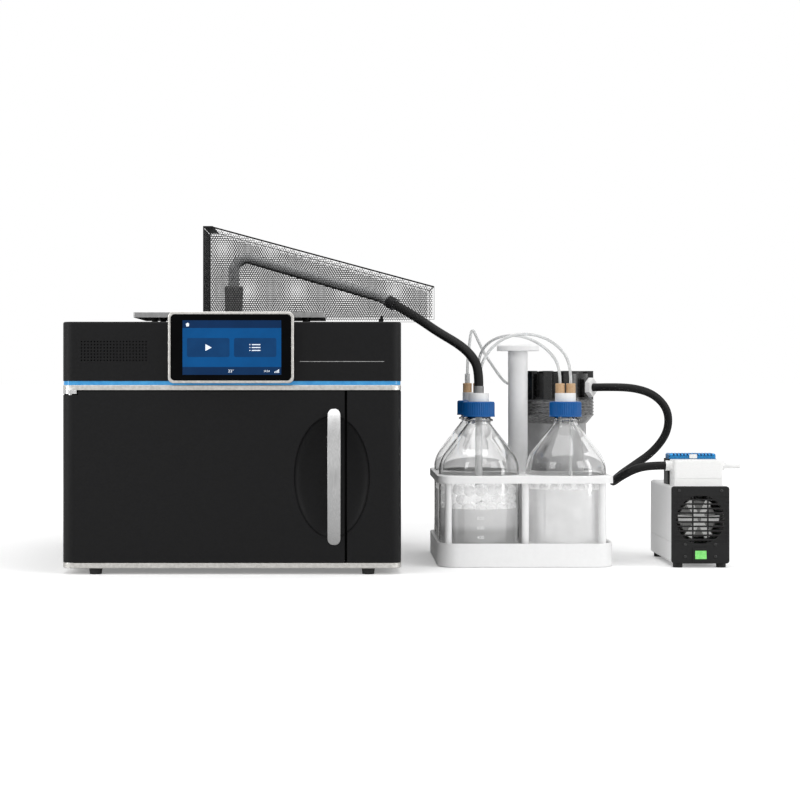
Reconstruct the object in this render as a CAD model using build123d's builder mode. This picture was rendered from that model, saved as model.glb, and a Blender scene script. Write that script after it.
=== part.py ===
from build123d import *
import math
import os

os.makedirs("parts", exist_ok=True)

# Sulfated ashing system in millimetres: a muffle furnace, a carrier with absorber bottles
# and an exhaust filter, and a diaphragm pump, joined by hoses. +Z is up, the front faces -Y,
# and the origin lies on the bench under the middle of the set.

# General fits
seat_gap = 0.3              # between pieces that lie beside each other
running_gap = 0.05          # radial, round pins and shafts
sheet = 2.0                 # folded sheet of the housings
fit_gap = 0.1               # radial, round tubes in their bores

# Layout of the three units along the bench
carrier_gap = 64.0
pump_gap = 94.5
carrier_setback = 101.0
pump_setback = 104.0

# Furnace outline
furnace_width = 544.0
furnace_depth = 580.0
corner_radius = 18.0
foot_height = 10.0
base_thickness = 8.5
lower_height = 277.0
band_thickness = 8.0
stripe_height = 6.5
upper_height = 95.0

# Door and the fixed panel beside it
door_width = 453.0
door_depth = 36.0
choke_depth = 3.0
door_gap = 2.0
door_seam = 4.0
scoop_half_width = 61.0
scoop_half_height = 98.0
scoop_depth = 21.0
handle_width = 20.5
handle_height = 219.0
handle_reach = 38.0
handle_thickness = 8.0
handle_from_edge = 17.0
hinge_inset = 13.0
hinge_pin_radius = 4.0
hinge_pin_length = 14.0
hinge_block_size = 24.0
hinge_block_height = 6.0

# Display
display_width = 200.5
display_height = 114.0
display_depth = 18.0
display_radius = 9.0
display_rim = 4.0
display_drop = 3.5          # how far it hangs below the upper housing
glass_thickness = 3.0

# Heating chamber
cavity_width = 340.0
cavity_height = 216.0
cavity_depth = 400.0
flange_width = 14.0
chamber_width = 210.0
chamber_height = 110.0
chamber_depth = 262.0
plug_depth = 42.0
plug_gap = 3.0
plug_taper = 13.0
element_thickness = 6.0
element_height = 84.0
element_length = 190.0
shelf_thickness = 5.0
thermocouple_radius = 3.0

# Exhaust
stack_x = -300.0
stack_y = 39.0
stack_top = 477.0
stack_radius = 16.8
stack_foot_radius = 14.5
sleeve_radius = 15.0
quartz_radius = 9.5
quartz_wall = 2.0
quartz_peak = 534.0

# Top of the furnace
plate_width = 310.0
plate_depth = 195.0
plate_height = 8.4
plate_lift = 7.6
plate_shift = -5.5
plate_front = 30.0
standoff_pitch_x = 246.0
standoff_pitch_y = 139.0
standoff_radius = 5.0
guard_left = 209.0          # from the furnace's left side
guard_width = 399.5
guard_front = 230.0         # from the furnace's front
guard_depth = 155.0
guard_lift = 10.6
guard_left_height = 161.5
guard_right_height = 57.5
guard_flat = 14.0
guard_sheet = 1.2

# Rear of the furnace
rear_margin = 24.0
panel_seat = 0.05           # between the rear panel and the case's back wall
fan_radius = 52.0
fan_depth = 16.0
fan_gap = 4.0
fan_hub_radius = 17.0
shaft_radius = 3.0
slat_pitch = 7.4
slat_height = 2.6

# Bottle carrier
carrier_side = 293.0
bottle_pitch = 147.0
tray_height = 40.0
tray_floor = 12.0
tray_wall = 5.0
tray_radius = 34.0
ring_bottom = 139.6
ring_thickness = 12.6
ring_clearance = 1.3
rod_radius = 6.0
rod_inset = 18.0
post_radius = 17.0
post_top = 361.5
disc_radius = 36.2
disc_thickness = 10.6

# Absorber bottles
bottle_radius = 68.0
bottle_wall = 2.6
bottle_base_radius = 14.0
body_height = 146.0
shoulder_height = 226.0
neck_top = 258.5
neck_radius = 20.0
neck_bore = 16.0
pour_ring_radius = 24.5
cap_radius = 27.0
cap_height = 25.6
cap_wall = 3.6
cap_top_wall = 2.4
cap_rib_count = 36
cap_rib_depth = 0.9
insert_radius = 17.5
insert_height = 14.5
flange_radius = 21.5
nut_radius = 7.9
nut_height = 16.3
nut_offset = 9.1
tube_radius = 2.5
inlet_tube_radius = 6.0
insert_flange = 1.5
ferrule_radius = 8.6
ferrule_height = 11.8

# Exhaust filter
filter_radius = 68.0
filter_core_radius = 58.0
bowl_radius = 54.6
bowl_wall = 4.0
bowl_shoulder = 233.0
lock_bottom = 253.0
lock_radius = 66.0
head_bottom = 277.0
head_height = 45.0
lobe_count = 12
lobe_width = 17.0
lobe_rise = 5.0
cartridge_radius = 32.0
port_angle = -33.0
port_height = 298.0
port_reach = 74.0
port_hex_radius = 17.0
port_hex_thickness = 9.0
left_port_reach = 72.5
left_port_height = 303.0

# Pump
pump_width = 96.0
pump_depth = 205.0
pump_height = 128.0
pump_foot_height = 7.0
pump_wall = 3.0
pump_panel_thickness = 5.0
pump_seam_height = 42.0
grille_radius = 40.0
grille_height = 79.6
pump_fan_radius = 34.0
pump_motor_radius = 30.0
head_front = 8.0
head_depth = 46.0
head_width = 81.0
pump_head_height = 43.0
flange_depth = 42.0
clamp_height = 9.0
clamp_groove_count = 12
port_line_height = 168.0
port_line_setback = 31.0
nozzle_radius = 4.9
nozzle_bore = 2.7
nozzle_overhang = 23.5
outlet_hex_radius = 8.6
outlet_hex_thickness = 6.0
inlet_collar_radius = 8.5
inlet_collar_length = 8.5

# Rocker switches
rocker_width = 18.7
rocker_height = 13.8
rocker_tilt = 7.0
bezel_border = 3.6
bezel_proud = 1.6

# Hoses and tubes: their routes are chosen by hand
exhaust_hose_radius = 8.0
suction_hose_radius = 7.0
exhaust_hose_route = [
    (-14, 39, 444), (20, 15, 424), (58, -31, 400), (95.6, -70.6, 379),
    (113.5, -87.5, 360), (123.5, -97, 332), (123.5, -97, 301),
]
suction_hose_route = [
    (332.6, 9.7, 298), (366, -12, 298), (404, -19, 298), (437, -14, 293),
    (459, -8, 272), (466, -1, 243), (460, 6, 213), (438, 14, 185),
    (407, 8, 164), (381, -18, 149), (366, -50, 140), (362, -80, 142),
    (369, -108, 151), (386, -128, 162), (409, -136, 168), (433, -136, 168),
]
tube_a_route = [
    (279.6, -97, 305.5), (279.6, -97, 334), (264, -97, 364), (235, -96, 387), (201, -94, 395),
    (167, -91, 388), (139, -87, 364), (124.5, -84.2, 327), (124.5, -84.2, 289.2),
]
tube_b_route = [
    (261.4, -97, 305.5), (261.4, -97, 331), (248, -88, 360), (222, -67, 383), (190, -38, 394),
    (159, -6, 388), (138, 25, 368), (132.6, 50, 335), (132.6, 50, 305.5),
]
tube_c_route = [
    (114.4, 50, 305.5), (114.4, 50, 338), (115.6, 51.5, 368), (117, 52, 386), (121, 52.5, 396),
    (129, 53, 398.5), (135.5, 53.5, 389), (143, 54, 367), (154, 54, 342), (170, 52, 318),
    (184, 50, 303), (198, 50, 303),
]

# Places that follow from the sizes above
overall_width = furnace_width + carrier_gap + carrier_side + pump_gap + pump_width + nozzle_overhang
left_x = -overall_width / 2
front_y = (handle_reach - furnace_depth) / 2
furnace_x = left_x + furnace_width / 2
furnace_y = front_y + furnace_depth / 2
furnace_right = left_x + furnace_width
back_y = front_y + furnace_depth
base_top = foot_height + base_thickness
lower_top = base_top + lower_height
band_top = lower_top + band_thickness
stripe_top = band_top + stripe_height
furnace_top = stripe_top + upper_height
bulkhead_y = front_y + door_depth + choke_depth + door_gap
rear_y = back_y - sheet - panel_seat
hinge_x = left_x + hinge_inset
hinge_y = front_y + hinge_inset
door_bottom = base_top + door_gap / 2
door_top = lower_top - door_gap
door_right = left_x + door_width
door_x = left_x + door_width / 2
scoop_x = door_right - scoop_half_width / 3
scoop_z = (door_bottom + door_top) / 2
handle_x = door_right - handle_from_edge
cavity_bottom = base_top + (lower_height - cavity_height) / 2
cavity_top = cavity_bottom + cavity_height
cavity_z = cavity_bottom + cavity_height / 2
cavity_front = bulkhead_y + sheet
carrier_x = furnace_right + carrier_gap + carrier_side / 2
carrier_y = front_y + carrier_setback + carrier_side / 2
near_row = carrier_y - bottle_pitch / 2
far_row = carrier_y + bottle_pitch / 2
near_left = (carrier_x - bottle_pitch / 2, near_row)
near_right = (carrier_x + bottle_pitch / 2, near_row)
far_left = (carrier_x - bottle_pitch / 2, far_row)
filter_place = (carrier_x + bottle_pitch / 2, far_row)
rim_z = tray_floor + neck_top
cap_top = rim_z + insert_flange + seat_gap + cap_top_wall
insert_top = cap_top + insert_height
pump_left = carrier_x + carrier_side / 2 + pump_gap
pump_x = pump_left + pump_width / 2
pump_y = front_y + pump_setback
pump_top = pump_foot_height + pump_height
pump_head_x = pump_left + pump_width / 2 - 1.5
port_line_y = pump_y + port_line_setback


def level(x, y, z):
    return Plane(origin=(x, y, z))


def facing(x, y, z):
    # a plane that looks out of the front, with its own x to the right
    return Plane(origin=(x, y, z), x_dir=(1, 0, 0), z_dir=(0, -1, 0))


def side_plane(x):
    # a plane that looks to the right, with its own x towards the back
    return Plane(origin=(x, 0, 0), x_dir=(0, 1, 0), z_dir=(1, 0, 0))


def corner_radii(name, radius, route):
    # each bend is as large as its two runs allow
    points = [Vector(*point) for point in route]
    runs = [after - before for before, after in zip(points, points[1:])]
    radii = []
    for before, after in zip(runs, runs[1:]):
        half_turn = math.radians(before.get_angle(after)) / 2
        radii.append(0.45 * min(before.length, after.length) / math.tan(half_turn))
    print(name, "bend radii in diameters:", [round(bend / (2 * radius), 1) for bend in radii])
    return radii


def hose_length(name, solid, radius):
    print(name, "length", round(solid.volume / (math.pi * radius ** 2), 1))


# Furnace base plate: a satin aluminium deck that shows below the door
with BuildPart() as base_plate:
    with BuildSketch(level(furnace_x, furnace_y, foot_height)):
        RectangleRounded(furnace_width, furnace_depth, corner_radius)
    extrude(amount=base_thickness)
    with Locations((hinge_x, hinge_y, foot_height)):
        Cylinder(hinge_pin_radius, base_thickness, align=(Align.CENTER, Align.CENTER, Align.MIN),
                 mode=Mode.SUBTRACT)
    chamfer(base_plate.edges().group_by(Axis.Z)[0], length=1.0)
base_plate.part.label = "furnace_base_plate"
export_step(base_plate.part, "parts/furnace_base_plate.step")

# Rubber feet under the furnace and under the pump
furnace_foot_radius = 11.0
furnace_foot_inset_x = 53.0
furnace_foot_inset_y = 14.0
pump_foot_radius = 8.0
pump_foot_inset = 12.0
with BuildPart() as rubber_feet:
    with BuildSketch(level(furnace_x, furnace_y, 0)):
        with GridLocations(furnace_width - 2 * furnace_foot_inset_x, furnace_depth - 2 * furnace_foot_inset_y, 2, 2):
            Circle(furnace_foot_radius - 1.5)
    extrude(amount=foot_height, taper=-8)
    with BuildSketch(level(pump_x, pump_y + pump_depth / 2, 0)):
        with GridLocations(pump_width - 2 * pump_foot_inset, pump_depth - 2 * pump_foot_inset, 2, 2):
            Circle(pump_foot_radius)
    extrude(amount=pump_foot_height)
rubber_feet.part.label = "rubber_feet"
export_step(rubber_feet.part, "parts/rubber_feet.step")

# Lower case: folded sheet with a bulkhead at the chamber mouth and vents in both sides
case_depth = back_y - bulkhead_y
vent_count = 9
vent_pitch = 12.0
vent_length = 70.0
vent_height = 5.0
rear_width = furnace_width - 2 * rear_margin
rear_height = lower_height - 2 * rear_margin
rear_z = base_top + lower_height / 2
with BuildPart() as lower_case:
    with BuildSketch(level(furnace_x, bulkhead_y + case_depth / 2, base_top)) as case_plan:
        Rectangle(furnace_width, case_depth)
        fillet(case_plan.vertices().group_by(Axis.Y)[-1], radius=corner_radius)
        offset(amount=-sheet, mode=Mode.SUBTRACT)
    extrude(amount=lower_height)
    with BuildSketch(facing(door_x, bulkhead_y + 2 * sheet, cavity_z)):
        Rectangle(cavity_width - 2 * sheet, cavity_height - 2 * sheet)
    extrude(amount=3 * sheet, mode=Mode.SUBTRACT)
    with BuildSketch(facing(furnace_x, back_y + sheet, rear_z)):
        RectangleRounded(rear_width, rear_height, 6)
    extrude(amount=3 * sheet, mode=Mode.SUBTRACT)
    with BuildSketch(side_plane(left_x - sheet)):
        with Locations((back_y - 110, base_top + lower_height / 2)):
            with GridLocations(0, vent_pitch, 1, vent_count):
                SlotOverall(vent_length, vent_height)
    extrude(amount=furnace_width + 2 * sheet, mode=Mode.SUBTRACT)
lower_case.part.label = "lower_case"
export_step(lower_case.part, "parts/lower_case.step")

# Finger scoop shared by the door and the fixed panel, half of an ellipsoid
scoop_shape = scale(Sphere(1), by=(scoop_half_width, scoop_depth, scoop_half_height))
scoop_tool = Pos(scoop_x, front_y, scoop_z) * scoop_shape

# Fixed panel at the right of the door, with the other part of the finger scoop
panel_left = door_right + door_seam
panel_width = furnace_right - panel_left
with BuildPart() as right_panel:
    with BuildSketch(level(panel_left + panel_width / 2, (front_y + bulkhead_y) / 2, door_bottom)) as panel_plan:
        Rectangle(panel_width, bulkhead_y - front_y)
        fillet(panel_plan.vertices().group_by(Axis.Y)[0].sort_by(Axis.X)[-1], radius=corner_radius)
    extrude(amount=door_top - door_bottom)
    add(scoop_tool, mode=Mode.SUBTRACT)
right_panel.part.label = "right_front_panel"
export_step(right_panel.part, "parts/right_front_panel.step")

# Door shell: rounded at the hinge side, relieved behind the hinge line so that it swings clear
with BuildPart() as door_shell:
    with BuildSketch(level(door_x, front_y + door_depth / 2, door_bottom)) as door_plan:
        Rectangle(door_width, door_depth)
        fillet(door_plan.vertices().group_by(Axis.Y)[0].sort_by(Axis.X)[0], radius=corner_radius)
        fillet(door_plan.vertices().group_by(Axis.Y)[-1].sort_by(Axis.X)[0], radius=door_depth / 5)
    extrude(amount=door_top - door_bottom)
    add(scoop_tool, mode=Mode.SUBTRACT)
    notch_depth = hinge_block_height + door_gap
    notch_radius = math.hypot(hinge_inset, hinge_block_size - hinge_inset) + 1.5
    with Locations((hinge_x, hinge_y, lower_top - notch_depth)):
        Cylinder(notch_radius, notch_depth, align=(Align.CENTER, Align.CENTER, Align.MIN), mode=Mode.SUBTRACT)
    with Locations((hinge_x, hinge_y, base_top)):
        Cylinder(hinge_pin_radius + running_gap, lower_height,
                 align=(Align.CENTER, Align.CENTER, Align.MIN), mode=Mode.SUBTRACT)
door_shell.part.label = "door_shell"
export_step(door_shell.part, "parts/door_shell.step")

# Inner cover of the door with the slotted choke that keeps the microwaves in
choke_margin = 26.0
choke_slot_pitch = 18.0
choke_slot_width = 3.0
choke_slot_length = 12.0
choke_width = door_width - 2 * choke_margin
choke_height = door_top - door_bottom - choke_margin
choke_slots_across = int((choke_width - 2 * choke_margin) / choke_slot_pitch)
with BuildPart() as door_choke:
    with BuildSketch(facing(door_x, front_y + door_depth, scoop_z)):
        RectangleRounded(choke_width, choke_height, 8)
    extrude(amount=-choke_depth)
    with BuildSketch(facing(door_x, front_y + door_depth + choke_depth, scoop_z)):
        with GridLocations(choke_slot_pitch, choke_height - choke_slot_length * 1.8, choke_slots_across, 2):
            Rectangle(choke_slot_width, choke_slot_length)
    extrude(amount=choke_depth / 2, mode=Mode.SUBTRACT)
door_choke.part.label = "door_choke"
export_step(door_choke.part, "parts/door_choke.step")

# Insulating plug on the door, tapered so that it swings out of the chamber mouth
plug_width = chamber_width - 2 * plug_gap
plug_height = chamber_height - 2 * plug_gap
with BuildPart() as door_plug:
    plug_root = front_y + door_depth + choke_depth
    with BuildSketch(facing(door_x, plug_root, cavity_z)):
        RectangleRounded(plug_width, plug_height, 6)
    with BuildSketch(facing(door_x, plug_root + plug_depth, cavity_z)):
        RectangleRounded(plug_width - 2 * plug_taper, plug_height - plug_taper, 6)
    loft()
door_plug.part.label = "door_plug"
export_step(door_plug.part, "parts/door_plug.step")

# Door handle: a bowed flat bar that stands over the scoop, with rounded ends
handle_z = scoop_z
with BuildPart() as door_handle:
    with BuildSketch(side_plane(handle_x)) as bow:
        with BuildLine():
            low_out = (front_y, handle_z - handle_height / 2)
            high_out = (front_y, handle_z + handle_height / 2)
            low_in = (front_y, handle_z - handle_height / 2 + 2 * handle_thickness)
            high_in = (front_y, handle_z + handle_height / 2 - 2 * handle_thickness)
            ThreePointArc(low_out, (front_y - handle_reach, handle_z), high_out)
            Line(high_out, high_in)
            ThreePointArc(high_in, (front_y - handle_reach + handle_thickness, handle_z), low_in)
            Line(low_in, low_out)
        make_face()
    extrude(amount=handle_width / 2, both=True)
    with BuildSketch(facing(handle_x, front_y, handle_z)):
        SlotOverall(handle_height, handle_width, rotation=90)
    extrude(amount=handle_reach + 1, mode=Mode.INTERSECT)
door_handle.part.label = "door_handle"
export_step(door_handle.part, "parts/door_handle.step")

# Hinge pins: the upper one hangs from a corner block under the band, the lower one stands on a washer
washer_radius = 9.0
with BuildPart() as hinge_pins:
    with BuildSketch(level(left_x + hinge_block_size / 2, front_y + hinge_block_size / 2,
                           lower_top - hinge_block_height)) as block_plan:
        Rectangle(hinge_block_size, hinge_block_size)
        fillet(block_plan.vertices().group_by(Axis.Y)[0].sort_by(Axis.X)[0], radius=corner_radius - 0.5)
    extrude(amount=hinge_block_height)
    with BuildSketch(level(hinge_x, hinge_y, lower_top - hinge_block_height)):
        Circle(hinge_pin_radius)
    extrude(amount=-hinge_pin_length)
    with BuildSketch(level(hinge_x, hinge_y, base_top)):
        Circle(washer_radius)
    extrude(amount=(door_bottom - base_top) * 0.7)
    with BuildSketch(level(hinge_x, hinge_y, foot_height)):
        Circle(hinge_pin_radius)
    extrude(amount=base_thickness + hinge_pin_length)
hinge_pins.part.label = "hinge_pins"
export_step(hinge_pins.part, "parts/hinge_pins.step")

# Aluminium band between the lower case and the upper housing
sleeve_hole = sleeve_radius + 1
with BuildPart() as mid_band:
    with BuildSketch(level(furnace_x, furnace_y, lower_top)):
        RectangleRounded(furnace_width, furnace_depth, corner_radius)
        with Locations((stack_x - furnace_x, stack_y - furnace_y)):
            Circle(sleeve_hole, mode=Mode.SUBTRACT)
    extrude(amount=band_thickness)
    chamfer(mid_band.faces().sort_by(Axis.Z)[-1].outer_wire().edges(), length=0.8)
mid_band.part.label = "mid_band"
export_step(mid_band.part, "parts/mid_band.step")

# Blue accent strip, set back a little from the housings
stripe_inset = 0.8
stripe_border = 14.0
with BuildPart() as blue_stripe:
    with BuildSketch(level(furnace_x, furnace_y, band_top)):
        RectangleRounded(furnace_width - 2 * stripe_inset, furnace_depth - 2 * stripe_inset, corner_radius)
        RectangleRounded(furnace_width - 2 * stripe_border, furnace_depth - 2 * stripe_border, corner_radius / 2,
                         mode=Mode.SUBTRACT)
    extrude(amount=stripe_height)
blue_stripe.part.label = "blue_stripe"
export_step(blue_stripe.part, "parts/blue_stripe.step")

# Upper housing: a folded and rounded cover, open below, with the hole for the exhaust sleeve
with BuildPart() as upper_case:
    with BuildSketch(level(furnace_x, furnace_y, stripe_top)):
        RectangleRounded(furnace_width, furnace_depth, corner_radius)
    extrude(amount=upper_height)
    fillet(upper_case.edges().group_by(Axis.Z)[-1], radius=3)
    offset(amount=-sheet, openings=upper_case.faces().sort_by(Axis.Z)[0])
    with BuildSketch(level(stack_x, stack_y, furnace_top - 2 * sheet)):
        Circle(sleeve_hole)
    extrude(amount=3 * sheet, mode=Mode.SUBTRACT)
upper_case.part.label = "upper_case"
export_step(upper_case.part, "parts/upper_case.step")

# Touch display: a silver rimmed housing with black glass let into its face
display_z = stripe_top - display_drop + display_height / 2
with BuildPart() as display_housing:
    with BuildSketch(facing(furnace_x, front_y, display_z)):
        RectangleRounded(display_width, display_height, display_radius)
    extrude(amount=display_depth)
    chamfer(display_housing.faces().sort_by(Axis.Y)[-1].edges(), length=3)
    fillet(display_housing.faces().sort_by(Axis.Y)[0].edges(), radius=1.5)
    with BuildSketch(facing(furnace_x, front_y - display_depth + glass_thickness, display_z)):
        RectangleRounded(display_width - 2 * display_rim, display_height - 2 * display_rim,
                         display_radius - display_rim / 2)
    extrude(amount=glass_thickness, mode=Mode.SUBTRACT)
display_housing.part.label = "display_housing"
export_step(display_housing.part, "parts/display_housing.step")

glass_margin = display_rim + seat_gap
with BuildPart() as display_glass:
    with BuildSketch(facing(furnace_x, front_y - display_depth + glass_thickness, display_z)):
        RectangleRounded(display_width - 2 * glass_margin, display_height - 2 * glass_margin,
                         display_radius - glass_margin / 2)
    extrude(amount=glass_thickness - seat_gap)
display_glass.part.label = "display_glass"
export_step(display_glass.part, "parts/display_glass.step")


def rocker_frame(outward):
    # raised frame round a rocker switch, on a plane that looks out of the wall
    with BuildPart() as frame:
        with BuildSketch(outward):
            RectangleRounded(rocker_width + 2 * bezel_border, rocker_height + 3 * bezel_border, 2)
        extrude(amount=bezel_proud)
    return frame.part


def rocker_well(outward):
    # the opening that the rocker swings in
    with BuildPart() as well:
        with BuildSketch(outward.offset(bezel_proud)):
            Rectangle(rocker_width + 2 * seat_gap, rocker_height + 4 * seat_gap)
        extrude(amount=-(bezel_proud + rocker_height))
    return well.part


def rocker(node, pivot, outward_sign):
    # two flats that meet at the pivot line, pressed down at one end, with a round underside
    half = rocker_height / 2
    rise = half * math.tan(math.radians(rocker_tilt))
    end = math.sqrt(half ** 2 - rise ** 2)
    tilt = math.radians(rocker_tilt)
    tilted = (0, outward_sign * math.cos(tilt), math.sin(tilt))
    with BuildPart() as body:
        with BuildSketch(Plane(origin=pivot, x_dir=tilted, z_dir=(outward_sign, 0, 0))):
            with BuildLine():
                Polyline((rise, -end), (0, 0), (rise, end))
                ThreePointArc((rise, end), (-0.8 * half, 0), (rise, -end))
            make_face()
        extrude(amount=rocker_width / 2, both=True)
    body.part.label = node
    export_step(body.part, f"parts/{node}.step")


# Rear panel: recessed in the case, with a slatted fan opening
fan_x = furnace_x + furnace_width / 4
fan_z = rear_z + 10
inlet_x = furnace_x - furnace_width / 3
inlet_z = base_top + rear_margin + 34
rocker_x = inlet_x + 62
panel_frame = 5.0
rear_switch_plane = Plane(origin=(rocker_x, rear_y, inlet_z), x_dir=(-1, 0, 0), z_dir=(0, 1, 0))
with BuildPart() as rear_panel:
    with BuildSketch(facing(furnace_x, rear_y, rear_z)):
        Rectangle(rear_width + 2 * panel_frame, rear_height + 2 * panel_frame)
        with Locations((fan_x - furnace_x, fan_z - rear_z)):
            Circle(fan_radius + 3, mode=Mode.SUBTRACT)
        with Locations((inlet_x - furnace_x, inlet_z - rear_z)):
            Rectangle(28, 20, mode=Mode.SUBTRACT)
    extrude(amount=sheet)
    with BuildSketch(facing(fan_x, rear_y, fan_z)) as rear_slats:
        with GridLocations(0, slat_pitch * 1.5, 1, 9):
            Rectangle(2 * fan_radius + 8, slat_height)
        Circle(fan_radius + 5, mode=Mode.INTERSECT)
        Circle(fan_hub_radius)
    extrude(amount=sheet)
    with BuildSketch(facing(fan_x, rear_y - sheet, fan_z)):
        Circle(shaft_radius)
    extrude(amount=fan_gap + fan_depth + 6)
    add(rocker_frame(rear_switch_plane))
    add(rocker_well(rear_switch_plane), mode=Mode.SUBTRACT)
rear_panel.part.label = "rear_panel"
export_step(rear_panel.part, "parts/rear_panel.step")


def fan_wheel(node, x, y, z, tip_radius, hub_radius, depth, blade_count, pitch):
    # hub on a shaft along Y, with flat pitched blades
    blade_root = hub_radius - 1
    blade_length = tip_radius - blade_root
    blade_half_thickness = 0.8
    with BuildPart() as wheel:
        with BuildSketch(facing(x, y, z)):
            Circle(hub_radius)
        extrude(amount=-depth)
        for index in range(blade_count):
            turn = 2 * math.pi * index / blade_count
            outwards = Vector(math.cos(turn), 0, math.sin(turn))
            across = Vector(-math.sin(turn), 0, math.cos(turn))
            face = Vector(0, 1, 0) * math.cos(math.radians(pitch)) + across * math.sin(math.radians(pitch))
            seat = Vector(x, y + depth / 2, z) + outwards * (blade_root + blade_length / 2)
            with BuildSketch(Plane(origin=seat, x_dir=outwards, z_dir=face)):
                Trapezoid(depth * 1.25, blade_length, 84, rotation=90)
            extrude(amount=blade_half_thickness, both=True)
        with BuildSketch(facing(x, y, z)):
            Circle(shaft_radius + running_gap)
        extrude(amount=-depth, mode=Mode.SUBTRACT)
    wheel.part.label = node
    export_step(wheel.part, f"parts/{node}.step")


rear_fan_y = rear_y - sheet - fan_gap - fan_depth
fan_wheel("rear_fan", fan_x, rear_fan_y, fan_z, fan_radius, fan_hub_radius, fan_depth, 7, 36)

# Mains inlet: a shrouded socket with three flat pins
inlet_depth = 22.0
with BuildPart() as power_inlet:
    with BuildSketch(facing(inlet_x, rear_y + 2, inlet_z)):
        RectangleRounded(36, 27, 3)
    extrude(amount=2)
    with BuildSketch(facing(inlet_x, rear_y + 2, inlet_z)):
        Rectangle(28 - 2 * seat_gap, 20 - 2 * seat_gap)
    extrude(amount=inlet_depth)
    with BuildSketch(facing(inlet_x, rear_y + 2, inlet_z)):
        RectangleRounded(24, 16, 3)
    extrude(amount=inlet_depth - 3, mode=Mode.SUBTRACT)
    with BuildSketch(facing(inlet_x, rear_y - inlet_depth + 5, inlet_z)):
        with Locations((-7, -2), (0, 2), (7, -2)):
            Rectangle(2, 5)
    extrude(amount=-16)
power_inlet.part.label = "power_inlet"
export_step(power_inlet.part, "parts/power_inlet.step")

rocker("power_rocker", (rocker_x, rear_y + bezel_proud, inlet_z), 1)

# Microwave cavity: a stainless box whose front flange seats on the bulkhead
with BuildPart() as cavity_shell:
    with BuildSketch(facing(door_x, cavity_front, cavity_z)):
        Rectangle(cavity_width, cavity_height)
    extrude(amount=-cavity_depth)
    offset(amount=-sheet, openings=cavity_shell.faces().sort_by(Axis.Y)[0])
    with BuildSketch(facing(door_x, cavity_front, cavity_z)):
        Rectangle(cavity_width + 2 * flange_width, cavity_height + 2 * flange_width)
        Rectangle(cavity_width - 2 * sheet, cavity_height - 2 * sheet, mode=Mode.SUBTRACT)
    extrude(amount=-sheet)
    with BuildSketch(level(stack_x, stack_y, cavity_top - 2 * sheet)):
        Circle(quartz_radius + 1)
    extrude(amount=3 * sheet, mode=Mode.SUBTRACT)
    with BuildSketch(facing(door_x, cavity_front + cavity_depth + sheet, cavity_z + chamber_height / 3)):
        Circle(thermocouple_radius + fit_gap)
    extrude(amount=3 * sheet, mode=Mode.SUBTRACT)
cavity_shell.part.label = "cavity_shell"
export_step(cavity_shell.part, "parts/cavity_shell.step")

# Ceramic fibre muffle with the ashing chamber
muffle_width = cavity_width - 2 * sheet - 2 * seat_gap
muffle_height = cavity_height - 2 * sheet - 2 * seat_gap
muffle_depth = cavity_depth - sheet - seat_gap
with BuildPart() as muffle_block:
    with BuildSketch(facing(door_x, cavity_front, cavity_z)):
        Rectangle(muffle_width, muffle_height)
    extrude(amount=-muffle_depth)
    with BuildSketch(facing(door_x, cavity_front, cavity_z)):
        Rectangle(chamber_width, chamber_height)
    extrude(amount=-chamber_depth, mode=Mode.SUBTRACT)
    with BuildSketch(level(stack_x, stack_y, cavity_z)):
        Circle(quartz_radius)
    extrude(amount=cavity_height, mode=Mode.SUBTRACT)
    with BuildSketch(facing(door_x, cavity_front + cavity_depth, cavity_z + chamber_height / 3)):
        Circle(thermocouple_radius + fit_gap)
    extrude(amount=cavity_depth - chamber_depth + 1, mode=Mode.SUBTRACT)
muffle_block.part.label = "muffle_block"
export_step(muffle_block.part, "parts/muffle_block.step")

# Silicon carbide plates that heat the chamber from both sides
chamber_floor = cavity_z - chamber_height / 2
element_y = cavity_front + chamber_depth - element_length / 2 - 12
with BuildPart() as heating_elements:
    with BuildSketch(level(door_x, element_y, chamber_floor)):
        with GridLocations(chamber_width - element_thickness - 2 * seat_gap, 0, 2, 1):
            Rectangle(element_thickness, element_length)
    extrude(amount=element_height)
heating_elements.part.label = "heating_elements"
export_step(heating_elements.part, "parts/heating_elements.step")

with BuildPart() as crucible_shelf:
    with BuildSketch(level(door_x, element_y, chamber_floor)):
        RectangleRounded(chamber_width - 2 * element_thickness - 6 * seat_gap, element_length, 5)
    extrude(amount=shelf_thickness)
crucible_shelf.part.label = "crucible_shelf"
export_step(crucible_shelf.part, "parts/crucible_shelf.step")

# Thermocouple probe with its head at the back of the cavity
probe_head = 14.0
with BuildPart() as thermocouple:
    with BuildSketch(facing(door_x, cavity_front + cavity_depth, cavity_z + chamber_height / 3)):
        Circle(thermocouple_radius)
    extrude(amount=cavity_depth - chamber_depth + 40)
    with BuildSketch(facing(door_x, cavity_front + cavity_depth, cavity_z + chamber_height / 3)):
        RegularPolygon(probe_head / 2, 6)
    extrude(amount=-probe_head)
thermocouple.part.label = "thermocouple"
export_step(thermocouple.part, "parts/thermocouple.step")

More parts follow.
